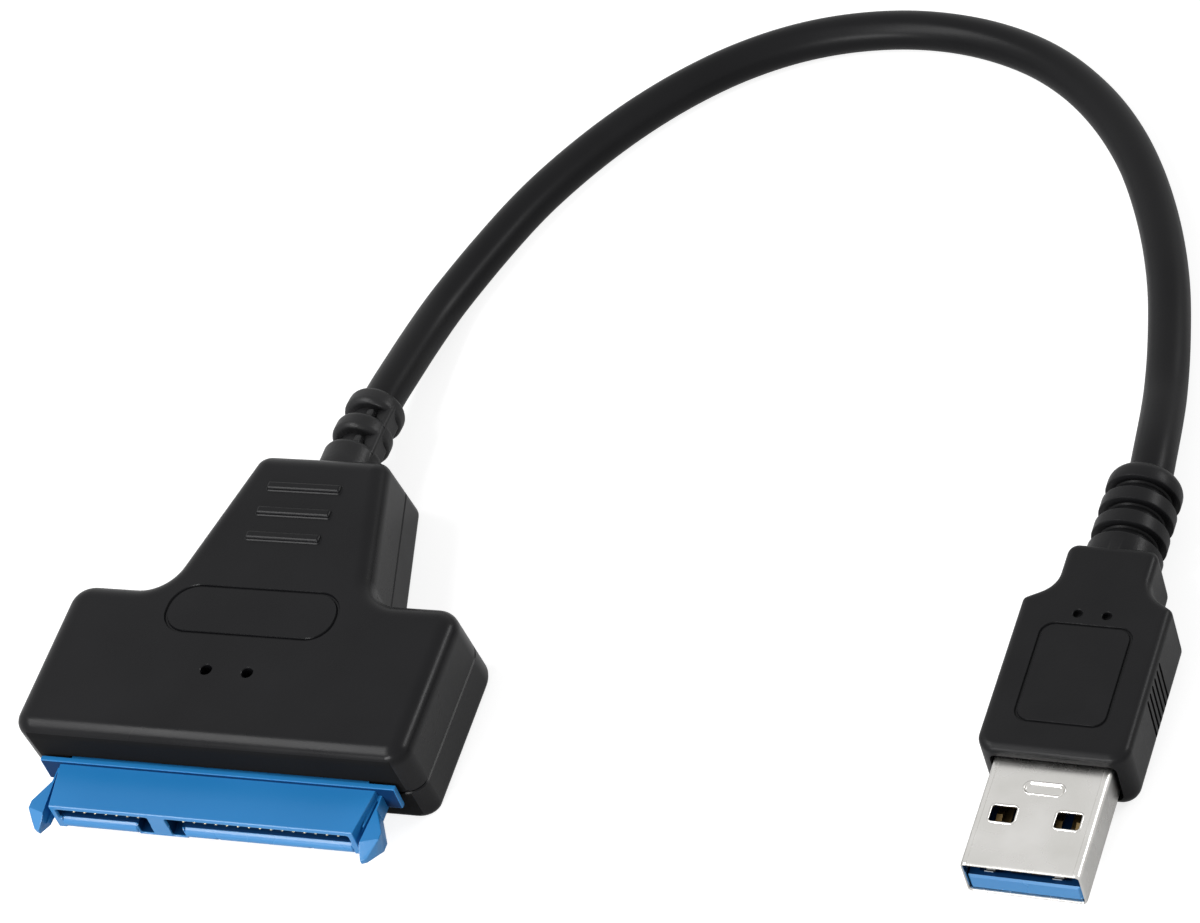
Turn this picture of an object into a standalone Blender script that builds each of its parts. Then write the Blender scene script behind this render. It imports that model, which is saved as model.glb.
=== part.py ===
"""USB to SATA adapter: a T-shaped two-shell housing with a blue 22-way
connector, a short round cable with a moulded strain relief at each end,
and a USB-A plug.

Frame: +Z up, -Y the way both connectors face, origin on the table under
the middle of the housing, its connector and its strain relief.
Lengths are in metres.
"""

import math

import bmesh
import bpy
from mathutils import Vector

# Fit between pieces that touch
CLEARANCE = 0.0003

# Adapter housing, two shells that meet at the parting height
HOUSING_WIDTH = 0.0456
HOUSING_HEIGHT = 0.0120
HOUSING_DEPTH = 0.0390
PARTING_HEIGHT = 0.0052
WIDE_DEPTH = 0.0198
NECK_FRONT_WIDTH = 0.0242
NECK_BACK_WIDTH = 0.0154
CORNER_RADIUS = 0.0022
NECK_FILLET = 0.0042
NECK_CORNER_RADIUS = 0.0018
EDGE_FILLET = 0.0010
FRONT_LEAN = 0.0011
FRONT_LEAN_DEPTH = 0.0060
BACK_LEAN = 0.0028
BACK_LEAN_DEPTH = 0.0060
WALL = 0.0015
ARC_STEPS = 5
FILLET_STEPS = 3

# Marks on the upper shell
MARK_SHIFT = -0.00045
BAR_LENGTH = 0.0088
BAR_WIDTH = 0.0010
BAR_HEIGHT = 0.0003
BAR_PITCH = 0.00345
BAR_FIRST = 0.0273
BAR_COUNT = 3
PANEL_LENGTH = 0.0202
PANEL_WIDTH = 0.0066
PANEL_CENTRE = 0.0171
PANEL_RADIUS = 0.0030
GROOVE_WIDTH = 0.0004
GROOVE_DEPTH = 0.00025
LED_HOLE_DIAMETER = 0.0013
LED_PITCH = 0.0048
LED_CENTRE = 0.0093

# Blue connector
CONNECTOR_REACH = 0.0059
CONNECTOR_WIDTH = 0.0352
CONNECTOR_BACK_WIDTH = 0.0369
CONNECTOR_TOP = 0.0067
CONNECTOR_BOTTOM = 0.0031
CONNECTOR_TAIL = 0.0046
CONNECTOR_TAIL_WIDTH = 0.0346
FLANGE_WIDTH = 0.0412
FLANGE_TOP = 0.0072
FLANGE_BOTTOM = 0.0040
FLANGE_THICKNESS = 0.0006
SLOT_HEIGHT = 0.00135
SLOT_FLOOR = 0.00475
SLOT_DEPTH = 0.0048
SIGNAL_SLOT = 0.0107
POWER_SLOT = 0.0209
SLOT_DIVIDER = 0.0022
FOOT_WIDTH = 0.0015
FOOT_FLOOR = 0.00035
EAR_REACH = 0.0023
EAR_INNER = 0.0183
EAR_OUTER = 0.0203
EAR_ROOT = 0.0189
EAR_TOP = 0.00595
EAR_BOTTOM = 0.0038
EAR_TIP_HEIGHT = 0.0005
EAR_SHOULDER = 0.0005
EAR_FLAT = 0.0020
EAR_TAPER = 0.0018

# Connector contacts
CONTACT_PITCH = 0.00127
CONTACT_WIDTH = 0.00080
CONTACT_THICKNESS = 0.0002
CONTACT_SETBACK = 0.0010
CONTACT_BUMP = 0.00035
CONTACT_BUMP_LENGTH = 0.0020
CONTACT_TAIL = 0.0018
SIGNAL_CONTACTS = 7
POWER_CONTACTS = 15

# Circuit board, carried between pads of the two shells
BOARD_THICKNESS = 0.0010
BOARD_WIDTH = 0.0360
BOARD_DEPTH = 0.0128
PAD_SIZE = 0.0020
PAD_INSET = 0.0030

# Locating pins of the lower shell in sockets of the upper shell
PIN_DIAMETER = 0.0018
PIN_REACH = 0.0030
SOCKET_WALL = 0.0009
PIN_SPREAD_WIDE = 0.0388
PIN_SPREAD_NECK = 0.0130
PIN_BACK_WIDE = 0.0030
PIN_NECK_CENTRE = 0.0262

# Strain relief at the housing
RELIEF_HEIGHT = 0.0060
RELIEF_DIAMETER = 0.0065
RELIEF_CORE = 0.0050
RELIEF_RING = 0.0024
RELIEF_GAP = 0.0015
RELIEF_RINGS = 2
RELIEF_BASE = 0.00495
RELIEF_ROUND = 0.0007
RELIEF_ANCHOR = 0.0084
RELIEF_ANCHOR_LENGTH = 0.0024
RELIEF_NECK = 0.0050
RELIEF_WEB = 0.0034
RELIEF_BEND_START = 0.0025
RELIEF_BEND_RADIUS = 0.0680
TURN_STEPS = 24

# Cable
CABLE_DIAMETER = 0.0046
CABLE_POINTS = 20
CABLE_STRAIGHT = 0.0024
CABLE_ROUTE = (
    (0.0, 0.0300, 0.00518),
    (0.0, 0.0324, 0.00481),
    (0.0001, 0.0350, 0.00438),
    (0.0002, 0.0375, 0.00394),
    (0.0003, 0.0401, 0.00348),
    (0.0005, 0.0431, 0.00298),
    (0.0009, 0.0465, 0.00256),
    (0.0017, 0.0500, 0.0024),
    (0.0038, 0.0566, 0.0024),
    (0.0067, 0.0642, 0.0024),
    (0.0105, 0.0713, 0.0024),
    (0.0150, 0.0778, 0.0024),
    (0.0202, 0.0835, 0.0024),
    (0.0261, 0.0882, 0.0024),
    (0.0328, 0.0916, 0.0024),
    (0.0401, 0.0934, 0.0024),
    (0.0479, 0.0936, 0.0024),
    (0.0560, 0.0919, 0.0024),
    (0.0638, 0.0881, 0.0024),
    (0.0709, 0.0818, 0.0024),
    (0.0767, 0.0737, 0.0024),
    (0.0811, 0.0644, 0.0024),
    (0.0842, 0.0550, 0.0024),
    (0.0861, 0.0460, 0.0024),
    (0.0871, 0.0395, 0.0025),
    (0.0877, 0.0350, 0.0032),
    (0.0881, 0.0312, 0.0038),
    (0.0883, 0.0286, 0.0040),
    (0.0884, 0.0268, 0.0040),
)

# Wires from the strain relief to the circuit board
WIRE_DIAMETER = 0.0007
WIRE_PITCH = 0.0010
WIRE_ROW_PITCH = 0.0012
WIRE_PAD_PITCH = 0.0018
WIRE_STRAIGHT = 0.0010
WIRE_LANDING = 0.0016
WIRE_STEPS = 8
WIRE_NAMES = ("red", "white", "green", "black", "blue", "yellow", "purple", "orange")
WIRE_COLOURS = (
    (0.60, 0.03, 0.02),
    (0.80, 0.80, 0.78),
    (0.03, 0.35, 0.08),
    (0.02, 0.02, 0.02),
    (0.03, 0.12, 0.55),
    (0.80, 0.62, 0.05),
    (0.28, 0.08, 0.42),
    (0.85, 0.28, 0.03),
)

# USB plug, laid flat on the table
PLUG_X = 0.0866
PLUG_Y = -0.0249
PLUG_TURN = math.radians(-1.97)
MOULD_THICKNESS = 0.0080
MOULD_WIDTH = 0.0154
MOULD_FRONT = 0.0126
MOULD_SHOULDER = 0.0314
MOULD_NECK_START = 0.0345
MOULD_BACK = 0.0382
MOULD_NECK_WIDTH = 0.0094
MOULD_CORNER = 0.0019
MOULD_SHOULDER_RADIUS = 0.0013
MOULD_TOP_FILLET = 0.0009
MOULD_BOTTOM_FILLET = 0.0017
PLUG_PANEL_WIDTH = 0.0096
PLUG_PANEL_LENGTH = 0.0125
PLUG_PANEL_CENTRE = 0.0223
PLUG_PANEL_RADIUS = 0.0016
DOT_DIAMETER = 0.0010
DOT_DEPTH = 0.0006
DOT_PITCH = 0.0030
DOT_CENTRE = 0.0297
RIDGE_COUNT = 7
RIDGE_PITCH = 0.0014
RIDGE_WIDTH = 0.0006
RIDGE_DEPTH = 0.0003
RIDGE_LENGTH = 0.0058
RIDGE_CENTRE = 0.0226
RIDGE_ANGLE = math.radians(35)
SLEEVE_DIAMETER = 0.0079
SLEEVE_CORE = 0.0062
SLEEVE_RIM = 0.0025
SLEEVE_GROOVE = 0.0013
SLEEVE_RIB = 0.0017
SLEEVE_RIBS = 2
SLEEVE_COLLAR = 0.0034
SLEEVE_ROUND = 0.0014

# USB shell, insulator and contacts
SHELL_WIDTH = 0.0120
SHELL_THICKNESS = 0.0045
SHELL_WALL = 0.0003
SHELL_CORNER = 0.0004
SHELL_SEAT = 0.0036
LATCH_WIDTH = 0.0025
LATCH_LENGTH = 0.0019
LATCH_FRONT = 0.0053
LATCH_INNER = 0.0040
DIMPLE_LENGTH = 0.0042
DIMPLE_WIDTH = 0.0014
DIMPLE_CENTRE = 0.00965
DIMPLE_DEPTH = 0.00012
TONGUE_THICKNESS = 0.00184
TONGUE_SETBACK = 0.0004
BASE_START = 0.0090
BASE_END = 0.0146
BASE_WALL = 0.0008
PAD_CONTACT_WIDTH = 0.0010
SPRING_CONTACT_WIDTH = 0.0006
PAD_CONTACT_PLACES = (-0.0035, -0.0010, 0.0010, 0.0035)
SPRING_CONTACT_PLACES = (-0.0040, -0.0020, 0.0, 0.0020, 0.0040)
USB_CONTACT_THICKNESS = 0.00015
PAD_CONTACT_START = 0.0012
SPRING_CONTACT_START = 0.0062
SPRING_RISE = 0.0004
USB_CONTACT_TAIL = 0.0006

# Parts on the circuit board: place along X, length, width and height
BRIDGE_CHIP = (0.0016, 0.0060, 0.0060, 0.0009)
FLASH_MEMORY = (-0.0078, 0.0049, 0.0039, 0.0014)
VOLTAGE_REGULATOR = (-0.0133, 0.0030, 0.0046, 0.0016)
CRYSTAL = (0.0082, 0.0025, 0.0032, 0.0008)
INDUCTOR = (0.0129, 0.0036, 0.0036, 0.0020)
PARTS_BACK = 0.0049
CAPACITOR_PLACES = (-0.0125, -0.0085, 0.0085)
CAPACITOR_SIZE = (0.0016, 0.0008, 0.0008)
LED_SIZE = (0.0016, 0.0009, 0.0007)

# Places worked out from the sizes above
RELIEF_LENGTH = RELIEF_BASE + RELIEF_RINGS * (RELIEF_GAP + RELIEF_RING)
RELIEF_BEND = (RELIEF_LENGTH - RELIEF_BEND_START) / RELIEF_BEND_RADIUS
RELIEF_REACH = RELIEF_BEND_START + (RELIEF_BEND_RADIUS + RELIEF_DIAMETER / 2) * math.sin(RELIEF_BEND)
OVERALL = EAR_REACH + CONNECTOR_REACH + HOUSING_DEPTH + RELIEF_REACH
MOUTH_Y = -OVERALL / 2 + EAR_REACH
FRONT_Y = MOUTH_Y + CONNECTOR_REACH
BACK_Y = FRONT_Y + HOUSING_DEPTH
RELIEF_BEND_Y = BACK_Y + RELIEF_BEND_START
RELIEF_SEAT_Y = BACK_Y + BACK_LEAN * (1 - RELIEF_HEIGHT / HOUSING_HEIGHT)
NECK_TAPER = (NECK_FRONT_WIDTH - NECK_BACK_WIDTH) / 2 / (HOUSING_DEPTH - WIDE_DEPTH)
CONNECTOR_BACK_Y = FRONT_Y + CONNECTOR_TAIL
FLANGE_BACK_Y = FRONT_Y + FRONT_LEAN * (1 - FLANGE_TOP / HOUSING_HEIGHT) - CLEARANCE
FLANGE_MIDDLE_Y = FLANGE_BACK_Y - FLANGE_THICKNESS / 2
SOCKET_BORE = PIN_DIAMETER + 2 * CLEARANCE
SOCKET_DIAMETER = SOCKET_BORE + 2 * SOCKET_WALL
SLOT_TOP = SLOT_FLOOR + SLOT_HEIGHT
SLOTS_WIDTH = SIGNAL_SLOT + SLOT_DIVIDER + POWER_SLOT
SIGNAL_CENTRE = -SLOTS_WIDTH / 2 + SIGNAL_SLOT / 2
POWER_CENTRE = SLOTS_WIDTH / 2 - POWER_SLOT / 2
CONTACT_TOP = SLOT_TOP - CLEARANCE
CONTACT_LEVEL = CONTACT_TOP - CONTACT_THICKNESS
BOARD_TOP = CONTACT_LEVEL - CLEARANCE
BOARD_BOTTOM = BOARD_TOP - BOARD_THICKNESS
BOARD_FRONT_Y = CONNECTOR_BACK_Y + CLEARANCE
BOARD_BACK_Y = BOARD_FRONT_Y + BOARD_DEPTH
PART_LEVEL = BOARD_TOP + CLEARANCE
ANCHOR_Y = RELIEF_SEAT_Y - WALL - CLEARANCE - RELIEF_ANCHOR_LENGTH
PLUG_AXIS = MOULD_THICKNESS / 2
SLEEVE_LENGTH = (
    SLEEVE_RIM + SLEEVE_RIBS * (SLEEVE_GROOVE + SLEEVE_RIB) + SLEEVE_GROOVE + SLEEVE_COLLAR
)
SHELL_END = MOULD_FRONT + SHELL_SEAT
TONGUE_BOTTOM = -SHELL_THICKNESS / 2 + SHELL_WALL + CLEARANCE
TONGUE_TOP = TONGUE_BOTTOM + TONGUE_THICKNESS
BASE_TOP = SHELL_THICKNESS / 2 - SHELL_WALL - CLEARANCE
INSULATOR_WIDTH = SHELL_WIDTH - 2 * (SHELL_WALL + CLEARANCE)

# Colours: base colour, roughness, metallic
BLACK_PLASTIC = ((0.022, 0.022, 0.024), 0.42, 0.0)
BLACK_RUBBER = ((0.016, 0.016, 0.018), 0.50, 0.0)
BLUE_PLASTIC = ((0.020, 0.200, 0.520), 0.32, 0.0)
NICKEL = ((0.72, 0.70, 0.66), 0.22, 1.0)
GOLD = ((0.85, 0.60, 0.22), 0.28, 1.0)
BOARD_GREEN = ((0.010, 0.110, 0.045), 0.40, 0.0)
CHIP_BLACK = ((0.015, 0.015, 0.015), 0.55, 0.0)
CERAMIC = ((0.42, 0.30, 0.18), 0.45, 0.0)
CLEAR_RED = ((0.60, 0.05, 0.03), 0.20, 0.0)
CLEAR_BLUE = ((0.05, 0.15, 0.70), 0.20, 0.0)


def clear_scene():
    for item in list(bpy.data.objects):
        bpy.data.objects.remove(item, do_unlink=True)


def make_collection(name):
    group = bpy.data.collections.new(name)
    bpy.context.scene.collection.children.link(group)
    return group


def finish_of(name, look):
    colour, roughness, metallic = look
    material = bpy.data.materials.new(name)
    material.use_nodes = True
    shader = material.node_tree.nodes["Principled BSDF"]
    shader.inputs["Base Color"].default_value = (*colour, 1.0)
    shader.inputs["Roughness"].default_value = roughness
    shader.inputs["Metallic"].default_value = metallic
    return material


def link(item, group, look=None):
    """Puts an object in its collection with a material of its own."""
    group.objects.link(item)
    if look:
        item.data.materials.append(finish_of(item.name, look))
    return item


def as_tool(item):
    item.hide_render = True
    item.display_type = "WIRE"
    return item


def mesh_object(name, bm):
    bmesh.ops.recalc_face_normals(bm, faces=bm.faces)
    mesh = bpy.data.meshes.new(name)
    bm.to_mesh(mesh)
    bm.free()
    return bpy.data.objects.new(name, mesh)


def box(name, low, high):
    """A box between two corners."""
    bm = bmesh.new()
    bmesh.ops.create_cube(bm, size=1.0)
    low, high = Vector(low), Vector(high)
    bmesh.ops.scale(bm, vec=high - low, verts=bm.verts)
    bmesh.ops.translate(bm, vec=(low + high) / 2, verts=bm.verts)
    return mesh_object(name, bm)


def rod(name, centre, diameter, low, high, steps=16):
    """An upright round rod between two heights."""
    bm = bmesh.new()
    bmesh.ops.create_cone(
        bm, cap_ends=True, segments=steps, radius1=diameter / 2, radius2=diameter / 2, depth=high - low
    )
    bmesh.ops.translate(bm, vec=(centre[0], centre[1], (low + high) / 2), verts=bm.verts)
    return mesh_object(name, bm)


def rod_along_y(name, centre_z, diameter, start, end, steps=TURN_STEPS):
    """A round rod along Y at x = 0."""
    bm = bmesh.new()
    bmesh.ops.create_cone(
        bm, cap_ends=True, segments=steps, radius1=diameter / 2, radius2=diameter / 2, depth=end - start
    )
    for vert in bm.verts:
        vert.co = Vector((vert.co.x, vert.co.z + (start + end) / 2, vert.co.y + centre_z))
    return mesh_object(name, bm)


def cut(item, tool, group, operation="DIFFERENCE"):
    """Cuts a tool out of an object, or joins it on, with an exact Boolean."""
    if tool.name not in group.objects:
        group.objects.link(as_tool(tool))
    step = item.modifiers.new(tool.name, "BOOLEAN")
    step.operation = operation
    step.solver = "EXACT"
    step.object = tool


def inset_corners(corners, distance):
    """Moves a counter-clockwise outline inwards; each corner is x, y, radius."""
    moved = []
    count = len(corners)
    for i, (x, y, radius) in enumerate(corners):
        before = Vector((x - corners[i - 1][0], y - corners[i - 1][1])).normalized()
        after = Vector((corners[(i + 1) % count][0] - x, corners[(i + 1) % count][1] - y)).normalized()
        normal_a = Vector((-before.y, before.x))
        normal_b = Vector((-after.y, after.x))
        shift = (normal_a + normal_b) * distance / (1 + normal_a.dot(normal_b))
        turn = before.x * after.y - before.y * after.x
        new_radius = radius - distance if turn > 0 else radius + distance
        moved.append((x + shift.x, y + shift.y, max(new_radius, CLEARANCE)))
    return moved


def round_corners(corners, steps=ARC_STEPS):
    """Outline points with each corner replaced by an arc of its radius."""
    points = []
    count = len(corners)
    for i, (x, y, radius) in enumerate(corners):
        corner = Vector((x, y))
        back = (Vector(corners[i - 1][:2]) - corner).normalized()
        ahead = (Vector(corners[(i + 1) % count][:2]) - corner).normalized()
        half = back.angle(ahead) / 2
        centre = corner + (back + ahead).normalized() * radius / math.sin(half)
        first = corner + back * radius / math.tan(half) - centre
        last = corner + ahead * radius / math.tan(half) - centre
        start = math.atan2(first.y, first.x)
        sweep = (math.atan2(last.y, last.x) - start + math.pi) % (2 * math.pi) - math.pi
        for k in range(steps + 1):
            angle = start + sweep * k / steps
            points.append((centre.x + radius * math.cos(angle), centre.y + radius * math.sin(angle)))
    return points


def slab(name, points, low, high, top_fillet=0.0, bottom_fillet=0.0, shape=None):
    """An outline raised between two heights, with its rims rounded."""
    bm = bmesh.new()
    face = bm.faces.new([bm.verts.new((x, y, low)) for x, y in points])
    made = bmesh.ops.extrude_face_region(bm, geom=[face])
    bmesh.ops.translate(
        bm, vec=(0, 0, high - low), verts=[g for g in made["geom"] if isinstance(g, bmesh.types.BMVert)]
    )
    if shape:
        for vert in bm.verts:
            shape(vert.co)
    bmesh.ops.recalc_face_normals(bm, faces=bm.faces)
    for level, fillet in ((high, top_fillet), (low, bottom_fillet)):
        if fillet:
            rim = [e for e in bm.edges if all(abs(v.co.z - level) < 1e-7 for v in e.verts)]
            bmesh.ops.bevel(
                bm, geom=rim, offset=fillet, segments=FILLET_STEPS, profile=0.5, affect="EDGES", clamp_overlap=True
            )
    return mesh_object(name, bm)


def turned(name, profile, steps=TURN_STEPS):
    """A profile of radius and place along Y, turned about the Y axis."""
    bm = bmesh.new()
    verts = [bm.verts.new((0.0, profile[0][1], 0.0))]
    verts += [bm.verts.new((radius, y, 0.0)) for radius, y in profile]
    verts.append(bm.verts.new((0.0, profile[-1][1], 0.0)))
    for a, b in zip(verts, verts[1:]):
        bm.edges.new((a, b))
    mesh = bpy.data.meshes.new(name)
    bm.to_mesh(mesh)
    bm.free()
    item = bpy.data.objects.new(name, mesh)
    screw = item.modifiers.new("turn", "SCREW")
    screw.axis = "Y"
    screw.steps = steps
    screw.render_steps = steps
    screw.use_merge_vertices = True
    screw.merge_threshold = 0.00001
    screw.use_normal_calculate = True
    return item


def rounded_rod_profile(radius, start, end, rounding, steps=3):
    """Radius and place of a ring with both rims rounded, from start to end."""
    profile = []
    for k in range(steps + 1):
        angle = math.pi / 2 * k / steps
        profile.append(
            (radius - rounding * (1 - math.sin(angle)), start + rounding * (1 - math.cos(angle)))
        )
    for k in range(steps + 1):
        angle = math.pi / 2 * k / steps
        profile.append((radius - rounding * (1 - math.cos(angle)), end - rounding * (1 - math.sin(angle))))
    return profile


def ring_groove(name, centre, length, width, radius, level, depth):
    """A tool for a rounded groove that outlines a panel on a top face."""
    half_x, half_y = length / 2, width / 2
    corners = [
        (centre[0] - half_x, centre[1] - half_y, radius),
        (centre[0] + half_x, centre[1] - half_y, radius),
        (centre[0] + half_x, centre[1] + half_y, radius),
        (centre[0] - half_x, centre[1] + half_y, radius),
    ]
    outer = round_corners(corners)
    inner = round_corners(inset_corners(corners, GROOVE_WIDTH))
    bm = bmesh.new()
    low, high = level - depth, level + depth
    loops = [[bm.verts.new((x, y, z)) for x, y in path] for path in (outer, inner) for z in (low, high)]
    count = len(outer)
    outer_low, outer_high, inner_low, inner_high = loops
    for i in range(count):
        j = (i + 1) % count
        bm.faces.new((outer_low[i], outer_low[j], outer_high[j], outer_high[i]))
        bm.faces.new((inner_low[j], inner_low[i], inner_high[i], inner_high[j]))
        bm.faces.new((outer_high[i], outer_high[j], inner_high[j], inner_high[i]))
        bm.faces.new((outer_low[j], outer_low[i], inner_low[i], inner_low[j]))
    return mesh_object(name, bm)


def housing_corners(inset=0.0):
    """The T-shaped plan outline of the housing, counter-clockwise."""
    half = HOUSING_WIDTH / 2
    wide_y = FRONT_Y + WIDE_DEPTH
    right = [
        (half, FRONT_Y, CORNER_RADIUS),
        (half, wide_y, CORNER_RADIUS),
        (NECK_FRONT_WIDTH / 2, wide_y, NECK_FILLET),
        (NECK_BACK_WIDTH / 2, BACK_Y, NECK_CORNER_RADIUS),
    ]
    left = [(-x, y, radius) for x, y, radius in reversed(right)]
    return inset_corners(right + left, inset) if inset else right + left


def lean(point):
    """The front and back faces both lean towards the back as they come down to the table."""
    drop = 1 - point.z / HOUSING_HEIGHT
    front = min(max(0.0, 1 - (point.y - FRONT_Y) / FRONT_LEAN_DEPTH), 1.0)
    back = min(max(0.0, 1 - (BACK_Y - WALL - point.y) / BACK_LEAN_DEPTH), 1.0)
    shift = BACK_LEAN * drop * back
    point.x *= 1 - shift * NECK_TAPER / (NECK_BACK_WIDTH / 2)
    point.y += FRONT_LEAN * drop * front + shift


def pin_places():
    """Plan places of the locating pins."""
    wide_y = FRONT_Y + WIDE_DEPTH - PIN_BACK_WIDE
    neck_y = FRONT_Y + PIN_NECK_CENTRE
    return [
        (side * spread / 2, y)
        for spread, y in ((PIN_SPREAD_WIDE, wide_y), (PIN_SPREAD_NECK, neck_y))
        for side in (-1, 1)
    ]


def board_pads():
    """Plan places of the four pads that hold the circuit board."""
    x = BOARD_WIDTH / 2 - PAD_INSET
    return [
        (side * x, y)
        for side in (-1, 1)
        for y in (BOARD_FRONT_Y + PAD_INSET, BOARD_BACK_Y - PAD_SIZE / 2)
    ]


def shell_openings(item, tools, name):
    """Cuts the connector's window and the strain relief's hole."""
    window = box(
        f"{name}_window",
        (-CONNECTOR_TAIL_WIDTH / 2 - CLEARANCE, FRONT_Y - WALL, CONNECTOR_BOTTOM - CLEARANCE),
        (CONNECTOR_TAIL_WIDTH / 2 + CLEARANCE, FRONT_Y + 3 * WALL, CONNECTOR_TOP + CLEARANCE),
    )
    cut(item, window, tools)
    start, end = BACK_Y - 2 * WALL, BACK_Y + BACK_LEAN + WALL
    hole = rod_along_y(f"{name}_cable_hole", RELIEF_HEIGHT, RELIEF_NECK + 2 * CLEARANCE, start, end)
    cut(item, hole, tools)
    half = RELIEF_NECK / 2 + CLEARANCE
    way_in = box(f"{name}_cable_way", (-half, start, PARTING_HEIGHT - WALL), (half, end, RELIEF_HEIGHT))
    if name == "upper":
        cut(item, way_in, tools)


def make_lower_shell(parts, tools):
    top = PARTING_HEIGHT - CLEARANCE / 2
    item = slab(
        "lower_shell", round_corners(housing_corners()), 0.0, top, bottom_fillet=EDGE_FILLET, shape=lean
    )
    link(item, parts, BLACK_PLASTIC)
    cavity = slab("lower_cavity", round_corners(housing_corners(WALL)), WALL, top + WALL, shape=lean)
    cut(item, cavity, tools)
    for i, place in enumerate(board_pads()):
        half = PAD_SIZE / 2
        pad = box(
            f"lower_pad_{i}",
            (place[0] - half, place[1] - half, WALL / 2),
            (place[0] + half, place[1] + half, BOARD_BOTTOM - CLEARANCE),
        )
        cut(item, pad, tools, "UNION")
    for i, place in enumerate(pin_places()):
        pin = rod(f"locating_pin_{i}", place, PIN_DIAMETER, WALL / 2, PARTING_HEIGHT + PIN_REACH)
        cut(item, pin, tools, "UNION")
    shell_openings(item, tools, "lower")
    return item


def make_upper_shell(parts, tools):
    low = PARTING_HEIGHT + CLEARANCE / 2
    roof = HOUSING_HEIGHT - WALL
    item = slab(
        "upper_shell", round_corners(housing_corners()), low, HOUSING_HEIGHT, top_fillet=EDGE_FILLET, shape=lean
    )
    link(item, parts, BLACK_PLASTIC)
    cavity = slab("upper_cavity", round_corners(housing_corners(WALL)), low - WALL, roof, shape=lean)
    cut(item, cavity, tools)
    for i, place in enumerate(board_pads()):
        half = PAD_SIZE / 2
        pad = box(
            f"upper_pad_{i}",
            (place[0] - half, place[1] - half, BOARD_TOP + CLEARANCE),
            (place[0] + half, place[1] + half, roof + WALL / 2),
        )
        cut(item, pad, tools, "UNION")
    for i, place in enumerate(pin_places()):
        boss = rod(f"socket_{i}", place, SOCKET_DIAMETER, low, roof + WALL / 2)
        cut(item, boss, tools, "UNION")
        hole = rod(f"socket_bore_{i}", place, SOCKET_BORE, low - WALL, PARTING_HEIGHT + PIN_REACH + CLEARANCE)
        cut(item, hole, tools)
    for i in range(BAR_COUNT):
        y = FRONT_Y + BAR_FIRST + i * BAR_PITCH
        bar = box(
            f"grip_bar_{i}",
            (MARK_SHIFT - BAR_LENGTH / 2, y - BAR_WIDTH / 2, HOUSING_HEIGHT - WALL / 2),
            (MARK_SHIFT + BAR_LENGTH / 2, y + BAR_WIDTH / 2, HOUSING_HEIGHT + BAR_HEIGHT),
        )
        cut(item, bar, tools, "UNION")
    groove = ring_groove(
        "label_groove",
        (MARK_SHIFT, FRONT_Y + PANEL_CENTRE),
        PANEL_LENGTH,
        PANEL_WIDTH,
        PANEL_RADIUS,
        HOUSING_HEIGHT,
        GROOVE_DEPTH,
    )
    cut(item, groove, tools)
    for i, place in enumerate(led_places()):
        hole = rod(f"led_hole_{i}", place, LED_HOLE_DIAMETER, roof - WALL, HOUSING_HEIGHT + WALL)
        cut(item, hole, tools)
    shell_openings(item, tools, "upper")
    return item


def led_places():
    return [(MARK_SHIFT + side * LED_PITCH / 2, FRONT_Y + LED_CENTRE) for side in (-1, 1)]


def ear(name, side):
    """One pointed guide arm beside the connector's mouth."""
    plan = [
        (EAR_ROOT - (EAR_ROOT - EAR_INNER) * 2, FLANGE_MIDDLE_Y),
        (EAR_INNER, MOUTH_Y - EAR_SHOULDER),
        ((EAR_INNER + EAR_OUTER) / 2, MOUTH_Y - EAR_REACH),
        (EAR_OUTER, MOUTH_Y - EAR_SHOULDER),
        (EAR_OUTER, MOUTH_Y + EAR_FLAT),
        (EAR_ROOT, MOUTH_Y + EAR_FLAT + EAR_TAPER),
        (EAR_ROOT, FLANGE_MIDDLE_Y),
    ]
    tip_y = MOUTH_Y - EAR_REACH
    middle = (EAR_TOP + EAR_BOTTOM) / 2

    def point_tip(co):
        if co.y < tip_y + 1e-6:
            co.z = middle + math.copysign(EAR_TIP_HEIGHT / 2, co.z - middle)

    return slab(name, [(side * x, y) for x, y in plan], EAR_BOTTOM, EAR_TOP, shape=point_tip)


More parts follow.
